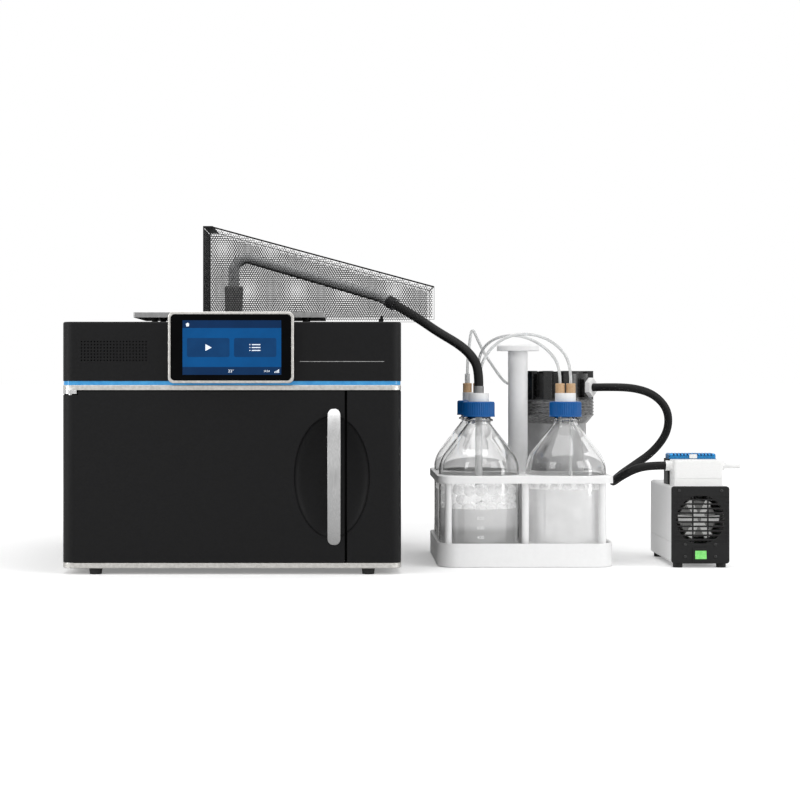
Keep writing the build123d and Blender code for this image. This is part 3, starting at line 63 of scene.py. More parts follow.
def finish(name, look):
    # a material from its two colours, grain, roughness range and fine bump, in object space
    material = bpy.data.materials.new(name)
    material.use_nodes = True
    tree = material.node_tree
    tree.nodes.clear()
    place = addNode(tree, "ShaderNodeTexCoord").outputs["Object"]
    stretch = addNode(tree, "ShaderNodeMapping", {"Vector": place, "Scale": look.get("stretch", (1, 1, 1))})
    grain = addNode(tree, "ShaderNodeTexNoise", {
        "Vector": stretch.outputs[0], "Scale": 1 / (look["grainMm"] * mm), "Detail": look.get("detail", 3.0),
        "Roughness": 0.6})
    share = addNode(tree, "ShaderNodeMapRange", {"Value": grain.outputs["Fac"], "From Min": 0.32, "From Max": 0.68})
    colour = addNode(tree, "ShaderNodeMix", {
        "Factor": share.outputs[0], 6: srgb(look["hexes"][0]), 7: srgb(look["hexes"][1])}, data_type="RGBA")
    if "zone" in look:
        low, high, code = look["zone"]
        height = addNode(tree, "ShaderNodeSeparateXYZ", {"Vector": place}).outputs["Z"]
        step = addNode(tree, "ShaderNodeMapRange", {"Value": height, "From Min": low * mm, "From Max": high * mm},
                       interpolation_type="SMOOTHSTEP")
        colour = addNode(tree, "ShaderNodeMix", {
            "Factor": step.outputs[0], 6: srgb(code), 7: colour.outputs[2]}, data_type="RGBA")
    if "under" in look:
        # painted shade: a darker line along the underside, standing in for the dark edge that a clear round wall shows
        # there
        facing = addNode(tree, "ShaderNodeSeparateXYZ", {
            "Vector": addNode(tree, "ShaderNodeNewGeometry").outputs["Normal"]}).outputs["Z"]
        step = addNode(tree, "ShaderNodeMapRange", {"Value": facing, "From Min": -0.8, "From Max": -0.5},
                       interpolation_type="SMOOTHSTEP")
        colour = addNode(tree, "ShaderNodeMix", {
            "Factor": step.outputs[0], 6: srgb(look["under"]), 7: colour.outputs[2]}, data_type="RGBA")
    rough = addNode(tree, "ShaderNodeMapRange", {
        "Value": grain.outputs["Fac"], "From Min": 0.3, "From Max": 0.7,
        "To Min": look["rough"][0], "To Max": look["rough"][1]})
    shader = addNode(tree, "ShaderNodeBsdfPrincipled", {
        "Base Color": colour.outputs[2], "Roughness": rough.outputs[0], "Metallic": look.get("metallic", 0.0),
        "IOR": look.get("ior", 1.5), "Specular IOR Level": look.get("specular", 0.5),
        "Transmission Weight": look.get("clear", 0.0), "Coat Weight": look.get("coat", 0.0),
        "Coat Roughness": look.get("coatRough", 0.08), "Alpha": look.get("alpha", 1.0),
        "Sheen Weight": look.get("sheen", 0.0), "Subsurface Weight": look.get("milk", 0.0),
        "Anisotropic": look.get("brushed", 0.0)})
    if look.get("milk"):
        shader.inputs["Subsurface Radius"].default_value = (0.004, 0.004, 0.004)
        shader.inputs["Subsurface Scale"].default_value = 1.0
    if look.get("glow"):
        tree.links.new(colour.outputs[2], shader.inputs["Emission Color"])
        shader.inputs["Emission Strength"].default_value = look["glow"]
    normal = None
    if look.get("edgeMm"):
        normal = addNode(tree, "ShaderNodeBevel", {"Radius": look["edgeMm"] * mm}, samples=4).outputs[0]
    if look.get("bumpMm"):
        fine = addNode(tree, "ShaderNodeTexNoise", {
            "Vector": stretch.outputs[0], "Scale": 1 / (look.get("bumpGrainMm", look["grainMm"]) * mm), "Detail": 2.0})
        bump = addNode(tree, "ShaderNodeBump", {"Height": fine.outputs["Fac"], "Distance": look["bumpMm"] * mm})
        if normal:
            tree.links.new(normal, bump.inputs["Normal"])
        normal = bump.outputs[0]
    if normal:
        tree.links.new(normal, shader.inputs["Normal"])
    addNode(tree, "ShaderNodeOutputMaterial", {"Surface": shader.outputs[0]})
    return material


looks = {
    # polyester powder, sprayed and baked: a fine orange peel that breaks up every highlight on the black casing
    "powderCoatBlack": {"hexes": ("#0c0c0d", "#121213"), "grainMm": 3.2, "rough": (0.42, 0.56), "specular": 0.16,
                        "bumpMm": 0.09, "bumpGrainMm": 1.6, "edgeMm": 0.8},
    # the same powder on punched sheet: only a soft grey rim shows round the holes
    "powderCoatGuard": {"hexes": ("#0c0c0d", "#151516"), "grainMm": 3.0, "rough": (0.45, 0.6), "specular": 0.2},
    # clear anodised aluminium, bead blasted: a pale satin grey with a soft wide highlight
    "anodisedAluminium": {"hexes": ("#bdbbb7", "#d2d0cc"), "grainMm": 5.0, "rough": (0.30, 0.42), "metallic": 1.0,
                          "bumpMm": 0.02, "bumpGrainMm": 0.9, "edgeMm": 0.6},
    # rolled aluminium plate, sanded and left bare: a mid grey that dulls towards its far edge
    "sandedAluminium": {"hexes": ("#8b8b8b", "#9d9d9d"), "grainMm": 6.0, "rough": (0.34, 0.46), "metallic": 1.0,
                        "bumpMm": 0.02, "bumpGrainMm": 0.9, "edgeMm": 0.6},
    # aluminium bar brushed along its length: long fine lines that draw the highlight out
    "brushedAluminium": {"hexes": ("#a8a8a8", "#bcbcbc"), "grainMm": 1.2, "stretch": (1, 1, 0.03), "metallic": 1.0,
                         "rough": (0.28, 0.36), "bumpMm": 0.015, "brushed": 0.6, "edgeMm": 1.2},
    # rolled and polished stainless steel: neutral and bright, with the sheet's faint rolling lines
    "polishedSteel": {"hexes": ("#c9c9c9", "#e2e2e2"), "grainMm": 2.0, "stretch": (1, 1, 0.2), "metallic": 1.0,
                      "rough": (0.12, 0.22), "edgeMm": 0.8},
    # brushed stainless sheet of the hot cavity: greyer and duller, lines run up and down
    "brushedStainless": {"hexes": ("#8e8c88", "#aba8a2"), "grainMm": 1.5, "stretch": (1, 1, 0.05), "metallic": 1.0,
                         "rough": (0.3, 0.5), "bumpMm": 0.03},
    # cast and edge lit acrylic strip: the blue line that runs round the casing
    "castAcrylicBlue": {"hexes": ("#2b84c1", "#3f98d0"), "grainMm": 14.0, "rough": (0.14, 0.2), "ior": 1.49,
                        "glow": 0.1},
    # toughened glass over a black mask: a deep black mirror round the lit picture
    "touchGlass": {"hexes": ("#020203", "#040506"), "grainMm": 30.0, "rough": (0.04, 0.08), "ior": 1.5,
                   "specular": 0.04},
    # vacuum pressed ceramic fibre board: chalky, fibrous and warm white
    "ceramicFibre": {"hexes": ("#d8d2c4", "#efeadf"), "grainMm": 3.0, "rough": (0.85, 0.98), "bumpMm": 0.4,
                     "bumpGrainMm": 1.8},
    # sintered silicon carbide: dark and gritty with grey sparkle
    "siliconCarbide": {"hexes": ("#1d1e20", "#3a3b3e"), "grainMm": 1.2, "rough": (0.45, 0.7), "bumpMm": 0.15},
    # fused quartz, drawn as tube: clear and slightly frosted by heat, with a line of painted shade along its underside
    "fusedQuartz": {"hexes": ("#b9babb", "#c9cacb"), "grainMm": 8.0, "rough": (0.12, 0.24), "ior": 1.46, "clear": 0.35,
                    "under": "#2e2e2e"},
    # cast and blasted collar at the foot of the hot tube: dull grey
    "blastedCollar": {"hexes": ("#6c6c6c", "#838383"), "grainMm": 3.0, "rough": (0.5, 0.65), "bumpMm": 0.05},
    # vulcanised rubber: deep matt black with a light bloom
    "vulcanisedRubber": {"hexes": ("#0c0c0c", "#1a1a1a"), "grainMm": 2.2, "rough": (0.55, 0.75), "specular": 0.35,
                         "bumpMm": 0.12, "bumpGrainMm": 1.4, "sheen": 0.1},
    # extruded rubber hose with a cloth pressed finish: dull black, a soft line of light along its back
    "hoseRubber": {"hexes": ("#0b0b0b", "#161616"), "grainMm": 1.8, "rough": (0.42, 0.6), "specular": 0.2,
                   "bumpMm": 0.14, "bumpGrainMm": 1.0},
    # polypropylene plate, machined and deburred: waxy white with faint tool marks
    "machinedPolypropylene": {"hexes": ("#efefef", "#f2f2f2"), "grainMm": 9.0, "rough": (0.38, 0.48), "bumpMm": 0.02,
                              "bumpGrainMm": 0.8, "milk": 0.05, "edgeMm": 0.9},
    # borosilicate glass, blown in a mould: clear, with a slight swirl in the wall
    "borosilicateGlass": {"hexes": ("#fbfbfb", "#ffffff"), "grainMm": 40.0, "rough": (0.0, 0.02), "ior": 1.47,
                          "clear": 1.0, "bumpMm": 0.05, "bumpGrainMm": 26.0},
    # polypropylene, injection moulded and dyed through: a clean mid blue with a satin skin
    "mouldedCapBlue": {"hexes": ("#005092", "#005699"), "grainMm": 6.0, "rough": (0.3, 0.42), "specular": 0.25, "bumpMm": 0.03,
                       "bumpGrainMm": 0.9},
    # turned fluoropolymer: dense chalk white with a soft sheen
    "turnedFluoropolymer": {"hexes": ("#ebebea", "#f0f0ef"), "grainMm": 4.0, "stretch": (1, 1, 3), "edgeMm": 0.5,
                            "rough": (0.3, 0.45), "bumpMm": 0.02, "milk": 0.08},
    # polyether ether ketone bar, turned: tan and slightly speckled
    "turnedTanPolymer": {"hexes": ("#b38f69", "#c6a681"), "grainMm": 1.6, "rough": (0.35, 0.5), "bumpMm": 0.03},
    # clear fluoropolymer tube, extruded: milky in its wall, bright along its back
    "extrudedClearTube": {"hexes": ("#e6e7e7", "#eeefef"), "grainMm": 60.0, "rough": (0.14, 0.2), "ior": 1.35,
                          "clear": 0.45},
    # hose cuffs, one node: black at the guard, and below 340 mm the flat mid grey metal of the bottle's collar
    "platedCoupling": {"hexes": ("#101011", "#18181a"), "grainMm": 2.0, "rough": (0.4, 0.5), "metallic": 0.6,
                       "zone": (340, 380, "#8c8c8c")},
    # glass filled nylon, moulded: near black with a wet looking skin on its edges
    "mouldedNylonBlack": {"hexes": ("#070707", "#111111"), "grainMm": 5.0, "rough": (0.16, 0.3), "edgeMm": 1.0,
                          "bumpMm": 0.05, "bumpGrainMm": 2.5},
    # smoke tinted polycarbonate bowl: see-through grey with bright ridges
    "smokePolycarbonate": {"hexes": ("#dadada", "#eaeaea"), "grainMm": 20.0, "rough": (0.04, 0.1), "ior": 1.58,
                           "clear": 0.6},
    # the bowl's thick ridged collar: the same tint, streaked where the ridges catch the light
    "smokeRidgedCollar": {"hexes": ("#3c3c3c", "#9a9a9a"), "grainMm": 7.0, "stretch": (1, 1, 6), "rough": (0.1, 0.2),
                          "ior": 1.58, "clear": 0.2},
    # pleated polyester medium: fibrous mid grey
    "pleatedMedium": {"hexes": ("#bfbfbf", "#e5e5e5"), "grainMm": 2.5, "rough": (0.8, 0.95), "bumpMm": 0.3},
    # acrylonitrile plastic, moulded with a spark texture: light grey with a dry skin
    "mouldedAbsGrey": {"hexes": ("#dedede", "#e5e5e5"), "grainMm": 3.0, "rough": (0.42, 0.58), "bumpMm": 0.05,
                       "bumpGrainMm": 1.2, "edgeMm": 0.7},
    # the same plastic in charcoal: the pump's front, with a slightly greasy shine
    "mouldedAbsCharcoal": {"hexes": ("#121213", "#191919"), "grainMm": 3.0, "rough": (0.4, 0.54), "specular": 0.25,
                           "bumpMm": 0.06,
                           "bumpGrainMm": 1.2, "edgeMm": 0.5},
    # hard anodised and dyed clamp: a metallic blue
    "anodisedClampBlue": {"hexes": ("#1d6fa9", "#2f8cc9"), "grainMm": 3.0, "rough": (0.25, 0.4), "metallic": 0.6,
                          "edgeMm": 0.5},
    # cast aluminium, as cast: rough light grey
    "castAluminium": {"hexes": ("#9b9b9a", "#b9b9b7"), "grainMm": 2.4, "rough": (0.45, 0.65), "metallic": 0.8,
                      "bumpMm": 0.2},
    # pale nylon fan wheel behind the dark slats, made bright by a painted glow though no lamp lights it
    "fanPalePaintedGlow": {"hexes": ("#d9d9d7", "#ececea"), "grainMm": 5.0, "rough": (0.35, 0.5), "edgeMm": 0.4,
                       "glow": 0.3},
    # lit polycarbonate rocker: a glowing pale green
    "litRockerGreen": {"hexes": ("#6ccb62", "#84d878"), "grainMm": 4.0, "rough": (0.2, 0.3), "glow": 0.15},
}
paint = {name: finish(name, look) for name, look in looks.items()}
print("finishes made:", len(paint))

wornBy = {
    "powderCoatBlack": ["lower_case", "right_front_panel", "door_shell", "upper_case", "rear_panel"],
    "powderCoatGuard": ["guard_cage"],
    "blastedCollar": ["exhaust_collar"],
    "anodisedAluminium": ["furnace_base_plate", "mid_band", "display_housing"],
    "sandedAluminium": ["rest_plate"],
    "brushedAluminium": ["door_handle"],
    "polishedSteel": ["hinge_pins", "thermocouple"],
    "brushedStainless": ["cavity_shell", "door_choke", "magnetrons"],
    "castAcrylicBlue": ["blue_stripe"],
    "touchGlass": ["display_glass"],
    "ceramicFibre": ["muffle_block", "door_plug"],
    "siliconCarbide": ["heating_elements"],
    "fusedQuartz": ["quartz_tube", "crucible_shelf"],
    "vulcanisedRubber": ["rubber_feet", "plate_standoffs"],
    "machinedPolypropylene": ["carrier_tray", "carrier_ring", "carrier_rods", "carrier_handle"],
    "borosilicateGlass": ["bottle_front_left", "bottle_front_right", "bottle_back_left"],
    "mouldedCapBlue": ["cap_front_left", "cap_front_right", "cap_back_left"],
    "turnedFluoropolymer": ["cap_inserts", "hose_ports", "pump_head"],
    "turnedTanPolymer": ["tube_nuts"],
    "extrudedClearTube": ["dip_tubes"],
    "platedCoupling": ["hose_couplings"],
    "mouldedNylonBlack": ["filter_head", "power_inlet", "power_rocker", "rear_fan"],
    "smokePolycarbonate": ["filter_bowl"],
    "pleatedMedium": ["filter_cartridge"],
    "mouldedAbsGrey": ["pump_case"],
    "mouldedAbsCharcoal": ["pump_front_panel", "pump_flange"],
    "anodisedClampBlue": ["pump_clamp"],
    "castAluminium": ["pump_motor"],
    "fanPalePaintedGlow": ["pump_fan"],
    "litRockerGreen": ["pump_rocker"],
}
for name, wearers in wornBy.items():
    for wearer in wearers:
        mesh = nodes[wearer].data
        if not mesh.materials:
            mesh.materials.append(paint[name])
        for index in range(len(mesh.materials)):
            mesh.materials[index] = paint[name]
print("solids dressed")


def addPiece(name, mesh, material, body="station", sharp=40):
    # a mesh in metres in the shared frame becomes a piece of the part
    made = bpy.data.objects.new(name, mesh)
    bpy.context.scene.collection.objects.link(made)
    if material:
        mesh.materials.clear()
        mesh.materials.append(paint[material] if isinstance(material, str) else material)
    mesh.shade_smooth()
    mesh.set_sharp_from_angle(angle=math.radians(sharp))
    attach(made, body)
    return made


def meshFrom(name, points, faces):
    mesh = bpy.data.meshes.new(name)
    mesh.from_pydata([Vector(p) * mm for p in points], [], faces)
    mesh.validate()
    return mesh


def turned(name, profile, centre, material, body="station", steps=96, ribs=0, ribDepth=0.0, sharp=40):
    # a profile of (radius, height, rib share) turned round a vertical line; radius 0 closes an end
    points, rings = [], []
    for entry in profile:
        radius, height = entry[0], entry[1]
        share = entry[2] if len(entry) > 2 else 0
        if radius == 0:
            rings.append([len(points)])
            points.append((centre[0], centre[1], height))
            continue
        ring = []
        for step in range(steps):
            angle = 2 * math.pi * step / steps
            reach = radius - ribDepth * share * (0.5 - 0.5 * math.cos(ribs * angle))
            ring.append(len(points))
            points.append((centre[0] + reach * math.cos(angle), centre[1] + reach * math.sin(angle), height))
        rings.append(ring)
    faces = []
    for low, high in zip(rings, rings[1:]):
        for step in range(steps):
            after = (step + 1) % steps
            if len(low) == 1:
                faces.append((low[0], high[after], high[step]))
            elif len(high) == 1:
                faces.append((low[step], low[after], high[0]))
            else:
                faces.append((low[step], low[after], high[after], high[step]))
    mesh = meshFrom(name, points, faces)
    return addPiece(name, mesh, material, body, sharp)


def arc(start, middle, end, count):
    # points on the circle through three points, without the first
    (ax, ay), (bx, by), (cx, cy) = start, middle, end
    d = 2 * (ax * (by - cy) + bx * (cy - ay) + cx * (ay - by))
    ux = ((ax**2 + ay**2) * (by - cy) + (bx**2 + by**2) * (cy - ay) + (cx**2 + cy**2) * (ay - by)) / d
    uy = ((ax**2 + ay**2) * (cx - bx) + (bx**2 + by**2) * (ax - cx) + (cx**2 + cy**2) * (bx - ax)) / d
    radius = math.hypot(ax - ux, ay - uy)
    first = math.atan2(ay - uy, ax - ux)
    sweep = (math.atan2(cy - uy, cx - ux) - first + math.pi) % (2 * math.pi) - math.pi
    return [(ux + radius * math.cos(first + sweep * i / count), uy + radius * math.sin(first + sweep * i / count))
            for i in range(1, count + 1)]


def slab(name, outline, origin, across, up, depth, material, body="station", bevel=0.0, sharp=40):
    # a flat outline in millimetres, raised by its depth along the normal of across and up
    across, up = Vector(across), Vector(up)
    outward = across.cross(up)
    shape = bmesh.new()
    corners = [shape.verts.new((Vector(origin) + across * x + up * y) * mm) for x, y in outline]
    face = shape.faces.new(corners)
    grown = bmesh.ops.extrude_face_region(shape, geom=[face])
    moved = [v for v in grown["geom"] if isinstance(v, bmesh.types.BMVert)]
    bmesh.ops.translate(shape, verts=moved, vec=outward * depth * mm)
    bmesh.ops.recalc_face_normals(shape, faces=shape.faces)
    if bevel:
        rim = [e for e in shape.edges if all(v in moved for v in e.verts)]
        bmesh.ops.bevel(shape, geom=rim, offset=bevel * mm, segments=2, affect="EDGES")
    mesh = bpy.data.meshes.new(name)
    shape.to_mesh(mesh)
    shape.free()
    return addPiece(name, mesh, material, body, sharp)


def roundedRect(width, height, radius, count=6):
    points = []
    for sx, sy, first in ((1, 1, 0), (-1, 1, 90), (-1, -1, 180), (1, -1, 270)):
        for i in range(count + 1):
            angle = math.radians(first + 90 * i / count)
            points.append((sx * (width / 2 - radius) + radius * math.cos(angle),
                           sy * (height / 2 - radius) + radius * math.sin(angle)))
    return points


# Camera and studio: long lens from the front, set a little to the left of the middle
camera = {"place": (-111.9, -3171.0, 318.0), "lens": 81.54, "shift": (0.075, -0.03)}
eye = bpy.data.objects.new("camera", bpy.data.cameras.new("camera"))
bpy.context.scene.collection.objects.link(eye)
eye.location = Vector(camera["place"]) * mm
eye.rotation_euler = (math.radians(90), 0, 0)
eye.data.lens = camera["lens"]
eye.data.sensor_width = 36.0
eye.data.shift_x, eye.data.shift_y = camera["shift"]
bpy.context.scene.camera = eye

studio = {"ambient": 0.5, "nearGlow": 0.22, "farGlow": 0.62, "near": 0.6, "far": 2.0, "floorTone": "#f4f4f4"}
lamps = {
    "overhead": ((-0.1, -0.5, 3.0), (0, 0, 0.2), (2.6, 1.8), 38),
    "frontLeft": ((-2.4, -2.6, 1.6), (0, 0, 0.2), (1.2, 1.6), 21),
    "frontRight": ((2.4, -2.6, 1.6), (0, 0, 0.2), (1.2, 1.6), 17),
    "leftStrip": ((-2.2, -0.9, 0.7), (-0.5, -0.2, 0.25), (0.4, 1.6), 12),
    "rightStrip": ((2.2, -0.9, 0.7), (0.3, -0.2, 0.25), (0.4, 1.6), 12),
}
for name, (place, aim, size, power) in lamps.items():
    data = bpy.data.lights.new(name, "AREA")
    data.shape = "RECTANGLE"
    data.size, data.size_y = size
    data.energy = power
    lamp = bpy.data.objects.new(name, data)
    bpy.context.scene.collection.objects.link(lamp)
    lamp.location = place
    lamp.rotation_euler = (Vector(aim) - Vector(place)).to_track_quat("-Z", "Y").to_euler()

world = bpy.data.worlds.new("studio")
bpy.context.scene.world = world
world.use_nodes = True
tree = world.node_tree
tree.nodes.clear()
path = addNode(tree, "ShaderNodeLightPath")
seen = addNode(tree, "ShaderNodeMath", {0: path.outputs["Is Camera Ray"], 1: path.outputs["Is Glossy Ray"]},
               operation="ADD")
seen = addNode(tree, "ShaderNodeMath", {0: seen.outputs[0], 1: path.outputs["Is Transmission Ray"]},
               operation="ADD", use_clamp=True)
strength = addNode(tree, "ShaderNodeMapRange", {"Value": seen.outputs[0], "To Min": studio["ambient"], "To Max": 1.0})
sky = addNode(tree, "ShaderNodeBackground", {"Color": (1, 1, 1, 1), "Strength": strength.outputs[0]})
addNode(tree, "ShaderNodeOutputWorld", {"Surface": sky.outputs[0]})

floorMaterial = bpy.data.materials.new("paperSweep")
floorMaterial.use_nodes = True
tree = floorMaterial.node_tree
tree.nodes.clear()
path = addNode(tree, "ShaderNodeLightPath")
matt = addNode(tree, "ShaderNodeBsdfDiffuse", {"Color": srgb(studio["floorTone"])})
# the paper glows more with distance, so that the shadows stay near the part and no horizon shows
spot = addNode(tree, "ShaderNodeTexCoord").outputs["Object"]
reach = addNode(tree, "ShaderNodeVectorMath", {0: spot}, operation="LENGTH")
fade = addNode(tree, "ShaderNodeMapRange", {
    "Value": reach.outputs["Value"], "From Min": studio["near"], "From Max": studio["far"],
    "To Min": studio["nearGlow"], "To Max": studio["farGlow"]}, interpolation_type="SMOOTHSTEP")
lift = addNode(tree, "ShaderNodeMath", {0: path.outputs["Is Camera Ray"], 1: fade.outputs[0]}, operation="MULTIPLY")
glow = addNode(tree, "ShaderNodeEmission", {"Color": (1, 1, 1, 1), "Strength": lift.outputs[0]})
both = addNode(tree, "ShaderNodeAddShader", {0: matt.outputs[0], 1: glow.outputs[0]})
addNode(tree, "ShaderNodeOutputMaterial", {"Surface": both.outputs[0]})
floorMesh = bpy.data.meshes.new("floor")
floorMesh.from_pydata([(-30, -12, 0), (30, -12, 0), (30, 60, 0), (-30, 60, 0)], [], [(0, 1, 2, 3)])
floorMesh.materials.append(floorMaterial)
floor = bpy.data.objects.new("floor", floorMesh)
bpy.context.scene.collection.objects.link(floor)
bpy.context.scene.view_settings.view_transform = "Standard"
print("camera, lamps and floor set")

# Hoses and tubes, each on one smooth curve; points in metres
hoses = {
    "exhaustHose": {"node": "exhaust_hose", "diameter": 0.016, "length": 0.2609, "material": "hoseRubber",
                    "slot": "hose_black", "stiffness": "stiff", "route": [
        (-0.014, 0.039, 0.444), (0.020, 0.015, 0.423), (0.058, -0.031, 0.394), (0.094, -0.069, 0.371),
        (0.1135, -0.0875, 0.351), (0.1235, -0.097, 0.329), (0.1235, -0.097, 0.301)]},
    "suctionHose": {"node": "suction_hose", "diameter": 0.014, "length": 0.4867, "material": "hoseRubber",
                    "slot": "hose_black", "stiffness": "stiff", "route": [
        (0.3326, 0.0097, 0.298), (0.364, -0.013, 0.299), (0.401, -0.020, 0.297), (0.433, -0.015, 0.287),
        (0.456, -0.009, 0.266), (0.464, -0.001, 0.241), (0.459, 0.006, 0.213), (0.437, 0.012, 0.184),
        (0.404, 0.006, 0.162), (0.375, -0.018, 0.146), (0.358, -0.050, 0.136), (0.355, -0.080, 0.138),
        (0.364, -0.108, 0.149), (0.383, -0.128, 0.162), (0.407, -0.136, 0.168), (0.433, -0.136, 0.168)]},
    "transferTubeA": {"node": "transfer_tube_a", "diameter": 0.005, "length": 0.2802, "material": "extrudedClearTube",
                      "slot": "tube_clear", "stiffness": "stiff", "route": [
        (0.2796, -0.097, 0.3055), (0.2796, -0.097, 0.334), (0.266, -0.097, 0.362), (0.238, -0.096, 0.383),
        (0.203, -0.094, 0.391), (0.168, -0.091, 0.384), (0.140, -0.087, 0.361), (0.1245, -0.0842, 0.327),
        (0.1245, -0.0842, 0.2892)]},
    "transferTubeB": {"node": "transfer_tube_b", "diameter": 0.005, "length": 0.2983, "material": "extrudedClearTube",
                      "slot": "tube_clear", "stiffness": "stiff", "route": [
        (0.2614, -0.097, 0.3055), (0.2614, -0.097, 0.331), (0.248, -0.088, 0.357), (0.222, -0.067, 0.379),
        (0.190, -0.038, 0.390), (0.159, -0.006, 0.385), (0.138, 0.025, 0.366), (0.1326, 0.050, 0.335),
        (0.1326, 0.050, 0.3055)]},
    "transferTubeC": {"node": "transfer_tube_c", "diameter": 0.005, "length": 0.2229, "material": "extrudedClearTube",
                      "slot": "tube_clear", "stiffness": "stiff", "route": [
        (0.1144, 0.050, 0.3055), (0.1144, 0.050, 0.338), (0.117, 0.0515, 0.364), (0.1194, 0.052, 0.384),
        (0.1212, 0.0523, 0.396), (0.1246, 0.0526, 0.400), (0.129, 0.053, 0.392), (0.1365, 0.0535, 0.375),
        (0.1475, 0.054, 0.354), (0.161, 0.053, 0.334), (0.174, 0.051, 0.315), (0.186, 0.050, 0.303),
        (0.198, 0.050, 0.303)]},
}
for name, hose in hoses.items():
    line = bpy.data.curves.new(name, "CURVE")
    line.dimensions = "3D"
    spline = line.splines.new("NURBS")
    spline.points.add(len(hose["route"]) - 1)
    for point, spot in zip(spline.points, hose["route"]):
        point.co = (*spot, 1)
    spline.order_u = 3
    spline.use_endpoint_u = True
    spline.resolution_u = 16
    line.bevel_depth = hose["diameter"] / 2
    line.bevel_resolution = 6
    line.use_fill_caps = True
    line.materials.append(paint[hose["material"]])
    tube = bpy.data.objects.new(name, line)
    bpy.context.scene.collection.objects.link(tube)
    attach(tube, "station")
    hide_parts(hose["node"])
print("hoses laid:", len(hoses))

# Guard of punched sheet: staggered holes in three panels, open above and where the hose leaves, on four legs
guard = {"left": -348.5, "front": -41.0, "foot": 415.6, "width": 399.5, "depth": 155.0, "leftHeight": 161.5,
         "rightHeight": 57.5, "flat": 14.0, "pitch": 4.2, "hole": 1.85, "sheet": 0.8, "rim": 1.3,
         "leftRim": 2.4, "topRim": {1: 2.6, -1: 0.7}}


def punched(outline, origin, across, up, points, faces):
    # hexagonal holes on a staggered pitch; strips and small triangles of metal are left between them
    across, up = Vector(across), Vector(up)
    outward = across.cross(up)
    pitch, half = guard["pitch"], guard["sheet"]
    rowStep = pitch * math.sqrt(3) / 2
    xs, ys = [p[0] for p in outline], [p[1] for p in outline]
    keep = guard["rim"] * 0.4 + guard["hole"]
    count = len(outline)

    def inside(x, y):
        for i in range(count):
            (ax, ay), (bx, by) = outline[i], outline[(i + 1) % count]
            run = math.hypot(bx - ax, by - ay)
            if ((bx - ax) * (y - ay) - (by - ay) * (x - ax)) / run < keep:
                return False
        return True

    cells = {}
    for row in range(int((max(ys) - min(ys)) / rowStep) + 2):
        for column in range(-1, int((max(xs) - min(xs)) / pitch) + 2):
            x = min(xs) + (column + 0.5 * (row % 2)) * pitch
            y = min(ys) + row * rowStep
            if inside(x, y):
                first = len(points)
                for side in range(2):
                    for corner in range(6):
                        angle = math.radians(60 * corner + 30)
                        spot = (Vector(origin) + across * (x + guard["hole"] * math.cos(angle))
                                + up * (y + guard["hole"] * math.sin(angle)) - outward * half * side)
                        points.append(spot)
                cells[(row, column)] = first
                for corner in range(6):
                    after = (corner + 1) % 6
                    faces.append((first + corner, first + after, first + 6 + after, first + 6 + corner))
    for (row, column), first in cells.items():
        odd = row % 2
        right = cells.get((row, column + 1))
        upRight = cells.get((row + 1, column + odd))
        upLeft = cells.get((row + 1, column + odd - 1))
        for side in (0, 6):
            flip = 1 if side == 0 else -1
            found = []
            if right is not None:
                found.append((first + 5, right + 3, right + 2, first + 0))
            if upRight is not None:
                found.append((first + 0, upRight + 4, upRight + 3, first + 1))
            if upLeft is not None:
                found.append((first + 1, upLeft + 5, upLeft + 4, first + 2))
            if right is not None and upRight is not None:
                found.append((first + 0, right + 2, upRight + 4))
            if upRight is not None and upLeft is not None:
                found.append((first + 1, upRight + 3, upLeft + 5))
            for face in found:
                faces.append(tuple(i + side for i in face)[::flip])


sheetPoints, sheetFaces = [], []
g = guard
right, back, top = g["left"] + g["width"], g["front"] + g["depth"], g["foot"] + g["leftHeight"]
front = [(0, 0), (g["width"], 0), (g["width"], g["rightHeight"]), (g["flat"], g["leftHeight"]), (0, g["leftHeight"])]
punched(front, (g["left"], g["front"], g["foot"]), (1, 0, 0), (0, 0, 1), sheetPoints, sheetFaces)
backOutline = [(g["width"] - x, y) for x, y in front][::-1]
punched(backOutline, (right, back, g["foot"]), (-1, 0, 0), (0, 0, 1), sheetPoints, sheetFaces)
punched([(0, 0), (g["depth"], 0), (g["depth"], g["leftHeight"]), (0, g["leftHeight"])],
        (g["left"], back, g["foot"]), (0, -1, 0), (0, 0, 1), sheetPoints, sheetFaces)
slope = Vector((g["width"] - g["flat"], 0, g["rightHeight"] - g["leftHeight"]))
guardSheet = addPiece("guardPunchedSheet", meshFrom("guardPunchedSheet", sheetPoints, sheetFaces),
                      "powderCoatGuard")
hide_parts("guard_cage")

# folded edges: an angle of two narrow strips along each fold, and the plain left column
edges = bmesh.new()


def strip(a, b, side, width, thick):
    # a bar from a to b, its width towards side, its thickness along the normal
    a, b, side = Vector(a), Vector(b), Vector(side)
    normal = (b - a).cross(side).normalized()
    corners = []
    for spot in (a, b):
        for u, v in ((0, 0), (width, 0), (width, thick), (0, thick)):
            corners.append(edges.verts.new((spot + side * u + normal * v) * mm))
    for face in ((0, 1, 2, 3), (7, 6, 5, 4), (0, 4, 5, 1), (1, 5, 6, 2), (2, 6, 7, 3), (3, 7, 4, 0)):
        edges.faces.new([corners[i] for i in face])


